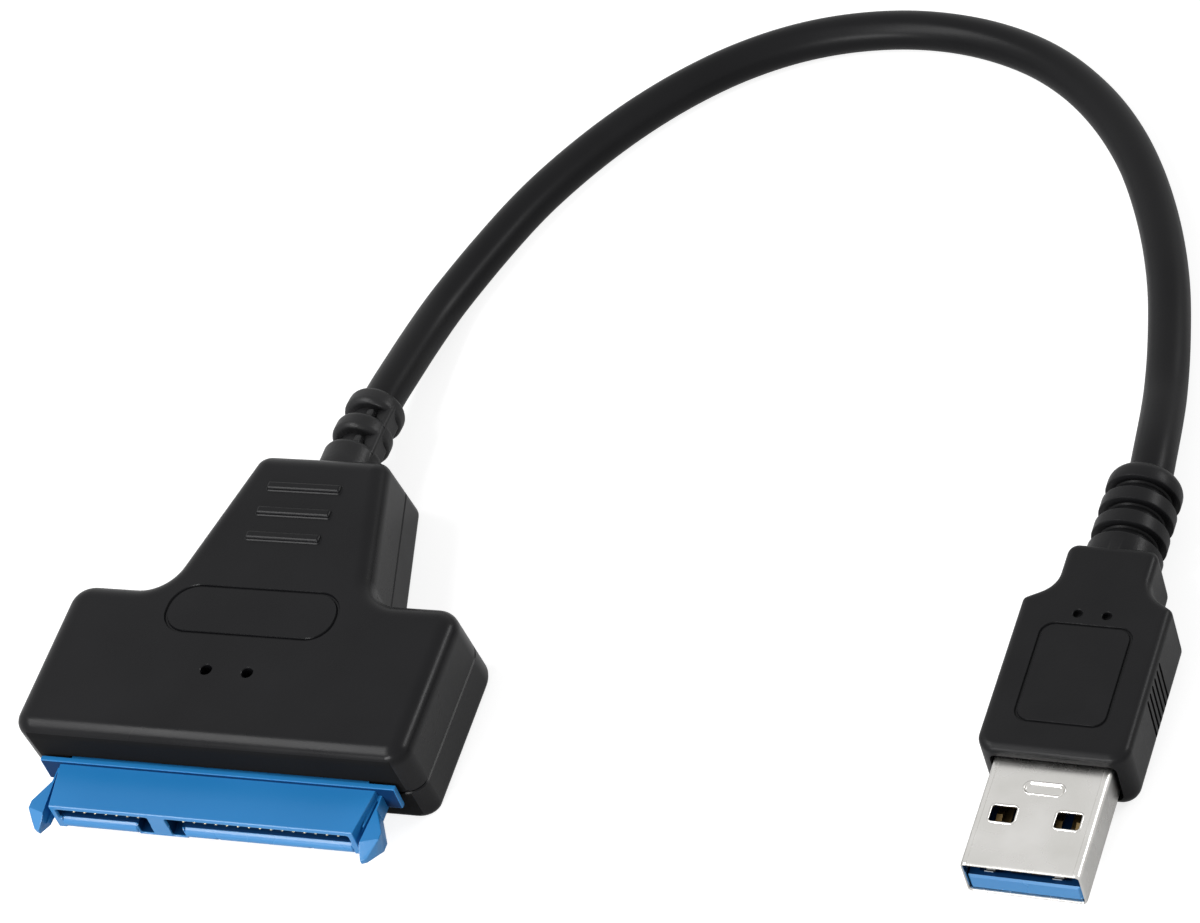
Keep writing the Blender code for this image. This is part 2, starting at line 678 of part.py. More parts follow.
def make_connector_body(parts, tools):
    half_front, half_back = CONNECTOR_WIDTH / 2, CONNECTOR_BACK_WIDTH / 2
    plan = [(-half_front, MOUTH_Y), (half_front, MOUTH_Y), (half_back, FLANGE_MIDDLE_Y)]
    plan.append((-half_back, FLANGE_MIDDLE_Y))
    item = slab("sata_connector_body", plan, CONNECTOR_BOTTOM, CONNECTOR_TOP)
    link(item, parts, BLUE_PLASTIC)
    flange = box(
        "flange",
        (-FLANGE_WIDTH / 2, FLANGE_BACK_Y - FLANGE_THICKNESS, FLANGE_BOTTOM),
        (FLANGE_WIDTH / 2, FLANGE_BACK_Y, FLANGE_TOP),
    )
    cut(item, flange, tools, "UNION")
    tail = box(
        "connector_tail",
        (-CONNECTOR_TAIL_WIDTH / 2, FLANGE_MIDDLE_Y, CONNECTOR_BOTTOM),
        (CONNECTOR_TAIL_WIDTH / 2, CONNECTOR_BACK_Y, CONNECTOR_TOP),
    )
    cut(item, tail, tools, "UNION")
    for side, word in ((-1, "left"), (1, "right")):
        cut(item, ear(f"{word}_ear", side), tools, "UNION")
    for name, centre, width, foot_side in (
        ("signal", SIGNAL_CENTRE, SIGNAL_SLOT, 1),
        ("power", POWER_CENTRE, POWER_SLOT, -1),
    ):
        slot = box(
            f"{name}_slot",
            (centre - width / 2, MOUTH_Y - EAR_REACH, SLOT_FLOOR),
            (centre + width / 2, MOUTH_Y + SLOT_DEPTH, SLOT_TOP),
        )
        cut(item, slot, tools)
        edge = centre + foot_side * width / 2
        foot = box(
            f"{name}_foot",
            (min(edge, edge - foot_side * FOOT_WIDTH), MOUTH_Y - EAR_REACH, CONNECTOR_BOTTOM + FOOT_FLOOR),
            (max(edge, edge - foot_side * FOOT_WIDTH), MOUTH_Y + SLOT_DEPTH, SLOT_TOP),
        )
        cut(item, foot, tools)
        count = SIGNAL_CONTACTS if name == "signal" else POWER_CONTACTS
        half_row = ((count - 1) * CONTACT_PITCH + CONTACT_WIDTH) / 2 + CLEARANCE
        window = box(
            f"{name}_window",
            (centre - half_row, MOUTH_Y + SLOT_DEPTH / 2, CONTACT_LEVEL - CLEARANCE),
            (centre + half_row, CONNECTOR_BACK_Y + WALL, SLOT_TOP),
        )
        cut(item, window, tools)
    return item


def strip(name, path, centre_x, width, thickness, parts, look):
    """A bent sheet-metal strip: a path of y and z, its underside, given thickness upwards."""
    bm = bmesh.new()
    verts = [bm.verts.new((centre_x - width / 2, y, z)) for y, z in path]
    edges = [bm.edges.new(pair) for pair in zip(verts, verts[1:])]
    made = bmesh.ops.extrude_edge_only(bm, edges=edges)
    bmesh.ops.translate(
        bm, vec=(width, 0, 0), verts=[g for g in made["geom"] if isinstance(g, bmesh.types.BMVert)]
    )
    for face in bm.faces:
        face.normal_update()
        if face.normal.z < 0:
            face.normal_flip()
    mesh = bpy.data.meshes.new(name)
    bm.to_mesh(mesh)
    bm.free()
    item = bpy.data.objects.new(name, mesh)
    sheet = item.modifiers.new("thickness", "SOLIDIFY")
    sheet.thickness = thickness
    sheet.offset = 1.0
    return link(item, parts, look)


def contact_path():
    """Side view of a connector contact, from its mouth end to its solder tail."""
    start = MOUTH_Y + CONTACT_SETBACK
    bump = start + CONTACT_BUMP_LENGTH / 2
    level = CONTACT_LEVEL
    return [
        (start, level),
        (start + CONTACT_BUMP_LENGTH / 4, level - CONTACT_BUMP * 0.7),
        (bump, level - CONTACT_BUMP),
        (bump + CONTACT_BUMP_LENGTH / 4, level - CONTACT_BUMP * 0.7),
        (start + CONTACT_BUMP_LENGTH, level),
        (BOARD_FRONT_Y + CONTACT_TAIL, level),
    ]


def make_contacts(parts):
    path = contact_path()
    for letter, centre, count in (("s", SIGNAL_CENTRE, SIGNAL_CONTACTS), ("p", POWER_CENTRE, POWER_CONTACTS)):
        for i in range(count):
            x = centre + (i - (count - 1) / 2) * CONTACT_PITCH
            strip(f"sata_contact_{letter}{i + 1}", path, x, CONTACT_WIDTH, CONTACT_THICKNESS, parts, GOLD)


def component(name, centre, size, parts, look, rounding=0.0):
    """A part that sits on the circuit board."""
    half_x, half_y = size[0] / 2, size[1] / 2
    item = box(
        name,
        (centre[0] - half_x, centre[1] - half_y, PART_LEVEL),
        (centre[0] + half_x, centre[1] + half_y, PART_LEVEL + size[2]),
    )
    if rounding:
        soften = item.modifiers.new("rounding", "BEVEL")
        soften.width = rounding
        soften.segments = 2
    return link(item, parts, look)


def make_board(parts):
    board = box(
        "circuit_board",
        (-BOARD_WIDTH / 2, BOARD_FRONT_Y, BOARD_BOTTOM),
        (BOARD_WIDTH / 2, BOARD_BACK_Y, BOARD_TOP),
    )
    link(board, parts, BOARD_GREEN)
    middle = BOARD_BACK_Y - PARTS_BACK
    for name, (x, *size), look, rounding in (
        ("bridge_chip", BRIDGE_CHIP, CHIP_BLACK, 0.0001),
        ("flash_memory", FLASH_MEMORY, CHIP_BLACK, 0.0001),
        ("voltage_regulator", VOLTAGE_REGULATOR, CHIP_BLACK, 0.0001),
        ("crystal", CRYSTAL, NICKEL, 0.0002),
        ("inductor", INDUCTOR, CERAMIC, 0.0003),
    ):
        component(name, (x, middle), size, parts, look, rounding)
    for i, x in enumerate(CAPACITOR_PLACES):
        component(f"capacitor_{i + 1}", (x, FRONT_Y + LED_CENTRE), CAPACITOR_SIZE, parts, CERAMIC)
    for name, place, look in zip(("power_led", "activity_led"), led_places(), (CLEAR_RED, CLEAR_BLUE)):
        component(name, place, LED_SIZE, parts, look, 0.0001)


def lay_relief(point):
    """Takes a point of the straight strain relief, made about the Y axis, to its real place:
    its inner end follows the housing's leaning back face, and behind that it bends down."""
    along = point.y - RELIEF_BEND_Y
    if along > 0:
        angle = along / RELIEF_BEND_RADIUS
        point.y = RELIEF_BEND_Y + (RELIEF_BEND_RADIUS + point.z) * math.sin(angle)
        point.z = (RELIEF_BEND_RADIUS + point.z) * math.cos(angle) - RELIEF_BEND_RADIUS
    else:
        share = min(1.0, -along / (RELIEF_BEND_Y - RELIEF_SEAT_Y - CLEARANCE))
        point.y -= BACK_LEAN * point.z / HOUSING_HEIGHT * share
    point.z += RELIEF_HEIGHT
    return point


def lay_mesh(mesh):
    for vert in mesh.vertices:
        vert.co = lay_relief(vert.co)


def make_strain_relief(parts, tools):
    """The moulded strain relief: an anchor inside the housing and rings outside it."""
    neck = RELIEF_NECK / 2
    core = RELIEF_CORE / 2
    outer = RELIEF_DIAMETER / 2
    profile = rounded_rod_profile(RELIEF_ANCHOR / 2, ANCHOR_Y, ANCHOR_Y + RELIEF_ANCHOR_LENGTH, 0.0003, 1)
    y = BACK_Y + RELIEF_BASE
    seat = RELIEF_SEAT_Y + CLEARANCE
    profile += [(neck, ANCHOR_Y + RELIEF_ANCHOR_LENGTH), (neck, seat)]
    profile += [(outer, seat), (outer, RELIEF_BEND_Y)]
    profile += rounded_rod_profile(outer, seat, y, RELIEF_ROUND)[4:]
    gaps = []
    for _ in range(RELIEF_RINGS):
        profile += [(core, y), (core, y + RELIEF_GAP)]
        gaps.append(y)
        y += RELIEF_GAP
        profile += rounded_rod_profile(outer, y, y + RELIEF_RING, RELIEF_ROUND)
        y += RELIEF_RING
    straight = turned("straight_relief", [(r, y) for r, y in reversed(profile)])
    tools.objects.link(as_tool(straight))
    graph = bpy.context.evaluated_depsgraph_get()
    mesh = bpy.data.meshes.new_from_object(straight.evaluated_get(graph))
    bpy.data.objects.remove(straight, do_unlink=True)
    lay_mesh(mesh)
    item = link(bpy.data.objects.new("sata_strain_relief", mesh), parts, BLACK_RUBBER)
    for i, gap_y in enumerate(gaps):
        web = box(
            f"relief_web_{i}",
            (core * 0.6, gap_y - RELIEF_ROUND, -RELIEF_WEB / 2),
            (outer * 0.93, gap_y + RELIEF_GAP + RELIEF_ROUND, RELIEF_WEB / 2),
        )
        lay_mesh(web.data)
        cut(item, web, tools, "UNION")
    return item


def smooth_route(points, count, straight):
    """Evenly spaced points on a Catmull-Rom curve through the route's points,
    with one more near each end where the cable runs straight out."""
    route = [Vector(p) for p in points]
    route = [route[0] * 2 - route[1]] + route + [route[-1] * 2 - route[-2]]
    fine = []
    steps = 12
    for a, b, c, d in zip(route, route[1:], route[2:], route[3:]):
        for k in range(steps):
            t = k / steps
            fine.append(
                0.5 * (2 * b + (c - a) * t + (2 * a - 5 * b + 4 * c - d) * t**2 + (3 * b - a - 3 * c + d) * t**3)
            )
    fine.append(route[-2])
    lengths = [0.0]
    for a, b in zip(fine, fine[1:]):
        lengths.append(lengths[-1] + (b - a).length)
    picked = []
    k = 0
    places = [lengths[-1] * i / (count - 1) for i in range(count)]
    for target in sorted(places + [straight, lengths[-1] - straight]):
        while k < len(lengths) - 2 and lengths[k + 1] < target:
            k += 1
        t = (target - lengths[k]) / (lengths[k + 1] - lengths[k])
        picked.append(fine[k].lerp(fine[k + 1], t))
    return picked


def tube(name, points, diameter, parts, look, resolution=2):
    """A round tube along points, with closed ends."""
    curve = bpy.data.curves.new(name, "CURVE")
    curve.dimensions = "3D"
    spline = curve.splines.new("POLY")
    spline.points.add(len(points) - 1)
    for slot, point in zip(spline.points, points):
        slot.co = (*point, 1.0)
    curve.bevel_depth = diameter / 2
    curve.bevel_resolution = resolution
    curve.use_fill_caps = True
    return link(bpy.data.objects.new(name, curve), parts, look)


def make_cable(parts):
    tube("cable", smooth_route(CABLE_ROUTE, CABLE_POINTS, CABLE_STRAIGHT), CABLE_DIAMETER, parts, BLACK_RUBBER, 3)


def make_wires(parts):
    """Eight insulated wires from the strain relief to pads on the board."""
    start_y = ANCHOR_Y - 2 * CLEARANCE
    end_y = BOARD_BACK_Y - WIRE_LANDING
    end_z = BOARD_TOP + CLEARANCE + WIRE_DIAMETER / 2
    for i, (word, colour) in enumerate(zip(WIRE_NAMES, WIRE_COLOURS)):
        column, row = divmod(i, 2)
        start_x = (column - 1.5) * WIRE_PITCH
        start_z = RELIEF_HEIGHT + (row - 0.5) * WIRE_ROW_PITCH
        end_x = (i - (len(WIRE_NAMES) - 1) / 2) * WIRE_PAD_PITCH
        points = [(start_x, start_y, start_z)]
        bend_start = FRONT_Y + PIN_NECK_CENTRE - SOCKET_DIAMETER / 2 - WIRE_STRAIGHT
        bend_end = BOARD_BACK_Y + WIRE_STRAIGHT
        for k in range(WIRE_STEPS + 1):
            t = k / WIRE_STEPS
            ease = (1 - math.cos(math.pi * t)) / 2
            y = bend_start + (bend_end - bend_start) * t
            points.append((start_x + (end_x - start_x) * ease, y, start_z + (end_z - start_z) * ease))
        points.append((end_x, end_y, end_z))
        tube(f"wire_{word}", points, WIRE_DIAMETER, parts, (colour, 0.45, 0.0))


def mould_corners():
    """Plan outline of the plug's moulding, counter-clockwise."""
    half, neck = MOULD_WIDTH / 2, MOULD_NECK_WIDTH / 2
    right = [
        (half, MOULD_FRONT, MOULD_CORNER),
        (half, MOULD_SHOULDER, MOULD_SHOULDER_RADIUS),
        (neck, MOULD_NECK_START, MOULD_SHOULDER_RADIUS),
        (neck, MOULD_BACK, MOULD_CORNER),
    ]
    return right + [(-x, y, radius) for x, y, radius in reversed(right)]


def sleeve_profile():
    """Radius and place of the plug's ribbed sleeve and collar."""
    core, outer = SLEEVE_CORE / 2, SLEEVE_DIAMETER / 2
    y = MOULD_BACK - MOULD_CORNER
    profile = [(outer, y), (outer, MOULD_BACK + SLEEVE_RIM)]
    y = MOULD_BACK + SLEEVE_RIM
    for _ in range(SLEEVE_RIBS):
        profile += [(core, y), (core, y + SLEEVE_GROOVE), (outer, y + SLEEVE_GROOVE)]
        y += SLEEVE_GROOVE + SLEEVE_RIB
        profile.append((outer, y))
    profile += [(core, y), (core, y + SLEEVE_GROOVE), (outer, y + SLEEVE_GROOVE)]
    end = y + SLEEVE_GROOVE + SLEEVE_COLLAR
    for k in range(4):
        angle = math.pi / 2 * k / 3
        profile.append(
            (outer - SLEEVE_ROUND * (1 - math.cos(angle)), end - SLEEVE_ROUND * (1 - math.sin(angle)))
        )
    return profile


def ridge_tools(side):
    """Slanted bars that stand proud of one side of the plug's moulding."""
    bars = []
    half = MOULD_WIDTH / 2
    for i in range(RIDGE_COUNT):
        y = RIDGE_CENTRE + (i - (RIDGE_COUNT - 1) / 2) * RIDGE_PITCH
        bm = bmesh.new()
        bmesh.ops.create_cube(bm, size=1.0)
        bmesh.ops.scale(bm, vec=(2 * RIDGE_DEPTH, RIDGE_WIDTH, RIDGE_LENGTH), verts=bm.verts)
        for vert in bm.verts:
            vert.co.y += vert.co.z * math.tan(RIDGE_ANGLE)
        bmesh.ops.translate(bm, vec=(side * half, y, 0.0), verts=bm.verts)
        bars.append(mesh_object(f"ridge_{'left' if side < 0 else 'right'}_{i}", bm))
    return bars


def make_plug_mould(parts, tools, place):
    half = MOULD_THICKNESS / 2
    item = slab(
        "usb_overmould",
        round_corners(mould_corners()),
        -half,
        half,
        top_fillet=MOULD_TOP_FILLET,
        bottom_fillet=MOULD_BOTTOM_FILLET,
    )
    item.parent = place
    link(item, parts, BLACK_PLASTIC)
    sleeve = turned("sleeve", list(reversed(sleeve_profile())))
    seat = SHELL_END + CLEARANCE
    pocket = box(
        "shell_pocket",
        (-SHELL_WIDTH / 2 - CLEARANCE, MOULD_FRONT - WALL, -SHELL_THICKNESS / 2 - CLEARANCE),
        (SHELL_WIDTH / 2 + CLEARANCE, seat, SHELL_THICKNESS / 2 + CLEARANCE),
    )
    groove = ring_groove(
        "plug_groove",
        (0.0, PLUG_PANEL_CENTRE),
        PLUG_PANEL_WIDTH,
        PLUG_PANEL_LENGTH,
        PLUG_PANEL_RADIUS,
        half,
        GROOVE_DEPTH,
    )
    dots = [
        rod(f"dot_{i}", (side * DOT_PITCH / 2, DOT_CENTRE), DOT_DIAMETER, half - DOT_DEPTH, half + DOT_DEPTH, 12)
        for i, side in enumerate((-1, 1))
    ]
    ridges = ridge_tools(-1) + ridge_tools(1)
    for tool in (sleeve, pocket, groove, *dots, *ridges):
        tool.parent = place
    cut(item, sleeve, tools, "UNION")
    for bar in ridges:
        cut(item, bar, tools, "UNION")
    cut(item, pocket, tools)
    cut(item, groove, tools)
    for dot in dots:
        cut(item, dot, tools)
    return item


def rectangle_corners(width, height, radius):
    """A rounded rectangle about the origin, counter-clockwise."""
    return [
        (x * width / 2, y * height / 2, radius) for x, y in ((-1, -1), (1, -1), (1, 1), (-1, 1))
    ]


def make_usb_shell(parts, tools, place):
    """The folded steel shell: a thin rounded tube with latch windows."""
    bm = bmesh.new()
    outline = round_corners(rectangle_corners(SHELL_WIDTH, SHELL_THICKNESS, SHELL_CORNER), 3)
    ring = [bm.verts.new((x, 0.0, z)) for x, z in outline]
    edges = [bm.edges.new((a, b)) for a, b in zip(ring, ring[1:] + ring[:1])]
    made = bmesh.ops.extrude_edge_only(bm, edges=edges)
    bmesh.ops.translate(
        bm, vec=(0, SHELL_END, 0), verts=[g for g in made["geom"] if isinstance(g, bmesh.types.BMVert)]
    )
    item = mesh_object("usb_shell", bm)
    item.parent = place
    link(item, parts, NICKEL)
    sheet = item.modifiers.new("wall", "SOLIDIFY")
    sheet.thickness = SHELL_WALL
    sheet.offset = -1.0
    sheet.use_even_offset = True
    top = SHELL_THICKNESS / 2
    for i, side in enumerate((-1, 1)):
        near, far = side * LATCH_INNER / 2, side * (LATCH_INNER / 2 + LATCH_WIDTH)
        window = box(
            f"latch_window_{i}",
            (min(near, far), LATCH_FRONT, -top - SHELL_WALL),
            (max(near, far), LATCH_FRONT + LATCH_LENGTH, top + SHELL_WALL),
        )
        window.parent = place
        cut(item, window, tools)
    return item


def make_usb_insulator(parts, tools, place):
    """The blue tongue on its base block, with a channel for the contacts."""
    half = INSULATOR_WIDTH / 2
    item = box(
        "usb_insulator", (-half, TONGUE_SETBACK, TONGUE_BOTTOM), (half, BASE_START + CLEARANCE, TONGUE_TOP)
    )
    item.parent = place
    link(item, parts, BLUE_PLASTIC)
    base = box("usb_base", (-half, BASE_START, TONGUE_BOTTOM), (half, BASE_END, BASE_TOP))
    base.parent = place
    cut(item, base, tools, "UNION")
    spread = max(SPRING_CONTACT_PLACES) + SPRING_CONTACT_WIDTH / 2 + CLEARANCE
    channel = box(
        "contact_channel",
        (-spread, PAD_CONTACT_START - CLEARANCE, TONGUE_TOP - USB_CONTACT_THICKNESS - CLEARANCE),
        (spread, BASE_END + WALL, BASE_TOP - BASE_WALL),
    )
    channel.parent = place
    cut(item, channel, tools)
    return item


def make_usb_contacts(parts, place):
    level = TONGUE_TOP - USB_CONTACT_THICKNESS
    end = BASE_END + USB_CONTACT_TAIL
    pad_path = [(PAD_CONTACT_START, level), (end, level)]
    spring_level = TONGUE_TOP + CLEARANCE
    crest = SPRING_CONTACT_START + 0.0008
    spring_path = [
        (SPRING_CONTACT_START, spring_level + SPRING_RISE / 2),
        (crest, spring_level + SPRING_RISE),
        (BASE_START - 0.0008, spring_level),
        (end, spring_level),
    ]
    number = 1
    for places, width, path in (
        (PAD_CONTACT_PLACES, PAD_CONTACT_WIDTH, pad_path),
        (SPRING_CONTACT_PLACES, SPRING_CONTACT_WIDTH, spring_path),
    ):
        for x in places:
            item = strip(f"usb_contact_{number}", path, x, width, USB_CONTACT_THICKNESS, parts, GOLD)
            item.parent = place
            number += 1


def make_plug(parts, tools):
    place = bpy.data.objects.new("usb_plug_place", None)
    parts.objects.link(place)
    place.location = (PLUG_X, PLUG_Y, PLUG_AXIS)
    place.rotation_euler = (0.0, 0.0, PLUG_TURN)
    make_plug_mould(parts, tools, place)
    make_usb_shell(parts, tools, place)
    make_usb_insulator(parts, tools, place)
    make_usb_contacts(parts, place)


def shade(parts):
    """Round faces shade smooth and corners stay crisp."""
    for item in parts.objects:
        if item.type == "MESH" and item.name not in ("circuit_board",):
            item.data.shade_smooth()
            item.data.set_sharp_from_angle(angle=math.radians(35))


def main():
    clear_scene()
    parts = make_collection("usb_to_sata_adapter")
    tools = make_collection("cutters")
    make_lower_shell(parts, tools)
    make_upper_shell(parts, tools)
    make_board(parts)
    make_connector_body(parts, tools)
    make_contacts(parts)
    make_strain_relief(parts, tools)
    make_cable(parts)
    make_wires(parts)
    make_plug(parts, tools)
    shade(parts)


main()
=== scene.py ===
import math

import bmesh
import bpy
from mathutils import Matrix, Vector


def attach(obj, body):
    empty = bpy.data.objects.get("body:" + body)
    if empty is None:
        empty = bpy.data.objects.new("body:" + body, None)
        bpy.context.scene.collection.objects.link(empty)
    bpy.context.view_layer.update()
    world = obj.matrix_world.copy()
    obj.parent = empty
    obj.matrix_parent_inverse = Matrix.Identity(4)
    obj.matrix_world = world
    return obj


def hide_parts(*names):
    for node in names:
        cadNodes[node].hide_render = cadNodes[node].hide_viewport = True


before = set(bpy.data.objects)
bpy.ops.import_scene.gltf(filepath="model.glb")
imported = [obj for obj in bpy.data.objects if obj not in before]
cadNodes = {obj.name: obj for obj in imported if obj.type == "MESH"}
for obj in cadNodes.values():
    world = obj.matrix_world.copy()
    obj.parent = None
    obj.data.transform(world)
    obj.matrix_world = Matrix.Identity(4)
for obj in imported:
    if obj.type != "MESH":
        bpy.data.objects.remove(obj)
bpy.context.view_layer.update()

# Sizes are in millimetres and are scaled to metres when a mesh is made.
# +Z is up and both connectors face -Y.
mm = 0.001
sharpRadius = 0.05  # the smallest radius a corner of an outline gets
beyond = 1  # how far a cutter reaches past what it cuts
print("frame loaded:", len(cadNodes), "CAD nodes")


# Mesh helpers

def newObject(name, data):
    thing = bpy.data.objects.new(name, data)
    bpy.context.scene.collection.objects.link(thing)
    return thing


def meshFrom(name, bm):
    bmesh.ops.recalc_face_normals(bm, faces=bm.faces)
    bmesh.ops.scale(bm, vec=(mm,) * 3, verts=bm.verts)
    mesh = bpy.data.meshes.new(name)
    bm.to_mesh(mesh)
    bm.free()
    return newObject(name, mesh)


def insetCorners(corners, distance):
    # Moves a counter-clockwise outline inwards; a corner is (x, y, radius).
    moved = []
    for i, (x, y, radius) in enumerate(corners):
        xn, yn, _ = corners[(i + 1) % len(corners)]
        before = Vector((x - corners[i - 1][0], y - corners[i - 1][1])).normalized()
        after = Vector((xn - x, yn - y)).normalized()
        sideA, sideB = Vector((-before.y, before.x)), Vector((-after.y, after.x))
        shift = (sideA + sideB) * distance / (1 + sideA.dot(sideB))
        convex = before.x * after.y - before.y * after.x > 0
        changed = radius - distance if convex else radius + distance
        moved.append((x + shift.x, y + shift.y, max(changed, sharpRadius)))
    return moved


def roundCorners(corners, steps):
    points = []
    for i, (x, y, radius) in enumerate(corners):
        corner = Vector((x, y))
        back = (Vector(corners[i - 1][:2]) - corner).normalized()
        ahead = (Vector(corners[(i + 1) % len(corners)][:2]) - corner).normalized()
        half = back.angle(ahead) / 2
        centre = corner + (back + ahead).normalized() * radius / math.sin(half)
        first = corner + back * radius / math.tan(half) - centre
        last = corner + ahead * radius / math.tan(half) - centre
        start = math.atan2(first.y, first.x)
        sweep = (math.atan2(last.y, last.x) - start + math.pi) % (2 * math.pi) - math.pi
        for k in range(steps + 1):
            angle = start + sweep * k / steps
            points.append((centre.x + radius * math.cos(angle), centre.y + radius * math.sin(angle)))
    return points


def rectangle(centreX, centreY, width, height, radius):
    signs = ((-1, -1), (1, -1), (1, 1), (-1, 1))
    return [(centreX + a * width / 2, centreY + b * height / 2, radius) for a, b in signs]


def loft(name, rings, closed=False):
    # Joins rings of the same number of points; open chains get end caps.
    bm = bmesh.new()
    loops = [[bm.verts.new(p) for p in ring] for ring in rings]
    pairs = list(zip(loops, loops[1:])) + ([(loops[-1], loops[0])] if closed else [])
    for a, b in pairs:
        for i in range(len(a)):
            j = (i + 1) % len(a)
            bm.faces.new((a[i], a[j], b[j], b[i]))
    if not closed:
        bm.faces.new(loops[0])
        bm.faces.new(loops[-1])
    return meshFrom(name, bm)


def hull(name, points):
    bm = bmesh.new()
    for point in points:
        bm.verts.new(point)
    made = bmesh.ops.convex_hull(bm, input=bm.verts)
    bmesh.ops.delete(bm, geom=list(set(made["geom_interior"] + made["geom_unused"])), context="VERTS")
    return meshFrom(name, bm)


def upright(corners, profile, steps, shape=None):
    # Rings of an outline in plan at (inset, z) pairs.
    rings = []
    for inset, z in profile:
        ring = [Vector((x, y, z)) for x, y in roundCorners(insetCorners(corners, inset), steps)]
        rings.append([shape(p) for p in ring] if shape else ring)
    return rings


def lengthwise(corners, profile, steps=6):
    # Rings of an outline in x and z at (inset, y) pairs.
    return [
        [Vector((x, y, z)) for x, z in roundCorners(insetCorners(corners, inset), steps)]
        for inset, y in profile
    ]


def turned(name, profile, centre=(0, 0, 0), steps=64):
    # A profile of (radius, y) turned about the Y axis and capped at both ends.
    rings = []
    for radius, y in profile:
        rings.append([
            Vector((centre[0] + radius * math.cos(a), centre[1] + y, centre[2] + radius * math.sin(a)))
            for a in (2 * math.pi * k / steps for k in range(steps))
        ])
    return loft(name, rings)


def fillet(insetStart, zStart, insetEnd, zEnd, steps):
    # Quarter-round (inset, height) pairs between two points of a profile.
    pairs = []
    for k in range(steps + 1):
        a = math.pi / 2 * k / steps
        across, along = 1 - math.cos(a), math.sin(a)
        pairs.append((insetStart + (insetEnd - insetStart) * across, zStart + (zEnd - zStart) * along))
    return pairs


def combine(target, tool, operation="DIFFERENCE"):
    step = target.modifiers.new("join", "BOOLEAN")
    step.operation = operation
    step.solver = "EXACT"
    step.object = tool
    applyModifiers(target)
    bpy.data.objects.remove(tool, do_unlink=True)


def joinTo(whole, part):
    # Joins a part to what is already made; the first part starts it.
    if whole is None:
        return part
    combine(whole, part, "UNION")
    return whole


def applyModifiers(thing):
    graph = bpy.context.evaluated_depsgraph_get()
    mesh = bpy.data.meshes.new_from_object(thing.evaluated_get(graph))
    old = thing.data
    thing.modifiers.clear()
    thing.data = mesh
    bpy.data.meshes.remove(old)


def soften(thing, width):
    step = thing.modifiers.new("edges", "BEVEL")
    step.width = width * mm
    step.segments = 2
    step.limit_method = "ANGLE"
    step.angle_limit = math.radians(35)
    applyModifiers(thing)


def smooth(thing, angle=32):
    thing.data.shade_smooth()
    thing.data.set_sharp_from_angle(angle=math.radians(angle))
    step = thing.modifiers.new("normals", "WEIGHTED_NORMAL")
    step.keep_sharp = True
    step.weight = 100
    applyModifiers(thing)


def repeatTree():
    # Copies the object's own mesh a number of times, one step apart.
    tree = bpy.data.node_groups.new("repeatInRow", "GeometryNodeTree")
    tree.interface.new_socket("Geometry", in_out="INPUT", socket_type="NodeSocketGeometry")
    tree.interface.new_socket("Count", in_out="INPUT", socket_type="NodeSocketInt")
    tree.interface.new_socket("Step", in_out="INPUT", socket_type="NodeSocketVector")
    tree.interface.new_socket("Finish", in_out="INPUT", socket_type="NodeSocketMaterial")
    tree.interface.new_socket("Geometry", in_out="OUTPUT", socket_type="NodeSocketGeometry")
    start = tree.nodes.new("NodeGroupInput")
    end = tree.nodes.new("NodeGroupOutput")
    row = tree.nodes.new("GeometryNodeMeshLine")
    copies = tree.nodes.new("GeometryNodeInstanceOnPoints")
    real = tree.nodes.new("GeometryNodeRealizeInstances")
    finish = tree.nodes.new("GeometryNodeSetMaterial")
    tree.links.new(start.outputs["Count"], row.inputs["Count"])
    tree.links.new(start.outputs["Step"], row.inputs["Offset"])
    tree.links.new(row.outputs["Mesh"], copies.inputs["Points"])
    tree.links.new(start.outputs["Geometry"], copies.inputs["Instance"])
    tree.links.new(copies.outputs["Instances"], real.inputs["Geometry"])
    tree.links.new(real.outputs["Geometry"], finish.inputs["Geometry"])
    tree.links.new(start.outputs["Finish"], finish.inputs["Material"])
    tree.links.new(finish.outputs["Geometry"], end.inputs["Geometry"])
    return tree


repeatInRow = repeatTree()


def repeat(thing, count, step, material):
    row = thing.modifiers.new("row", "NODES")
    row.node_group = repeatInRow
    sockets = {s.name: s.identifier for s in repeatInRow.interface.items_tree if s.in_out == "INPUT"}
    row[sockets["Count"]] = count
    row[sockets["Step"]] = [v * mm for v in step]
    row[sockets["Finish"]] = material
    applyModifiers(thing)
    return thing


def dress(thing, main, *others):
    # Puts the main material on, then each other one where its rule holds for a face's centre and normal.
    thing.data.materials.clear()
    thing.data.materials.append(main)
    for face in thing.data.polygons:
        face.material_index = 0
    for number, (material, rule) in enumerate(others, 1):
        thing.data.materials.append(material)
        for face in thing.data.polygons:
            if rule(face.center / mm, face.normal):
                face.material_index = number


def setPlace(thing, matrix):
    thing.data.transform(matrix)
    thing.data.update()


# Materials

def shaderNode(tree, kind, **settings):
    node = tree.nodes.new(kind)
    for key, value in settings.items():
        setattr(node, key, value)
    return node


def newMaterial(name, colour, roughness, metallic=0.0, specular=0.5):
    material = bpy.data.materials.new(name)
    material.use_nodes = True
    shader = material.node_tree.nodes["Principled BSDF"]
    shader.inputs["Base Color"].default_value = (*colour, 1)
    shader.inputs["Roughness"].default_value = roughness
    shader.inputs["Metallic"].default_value = metallic
    shader.inputs["Specular IOR Level"].default_value = specular
    return material


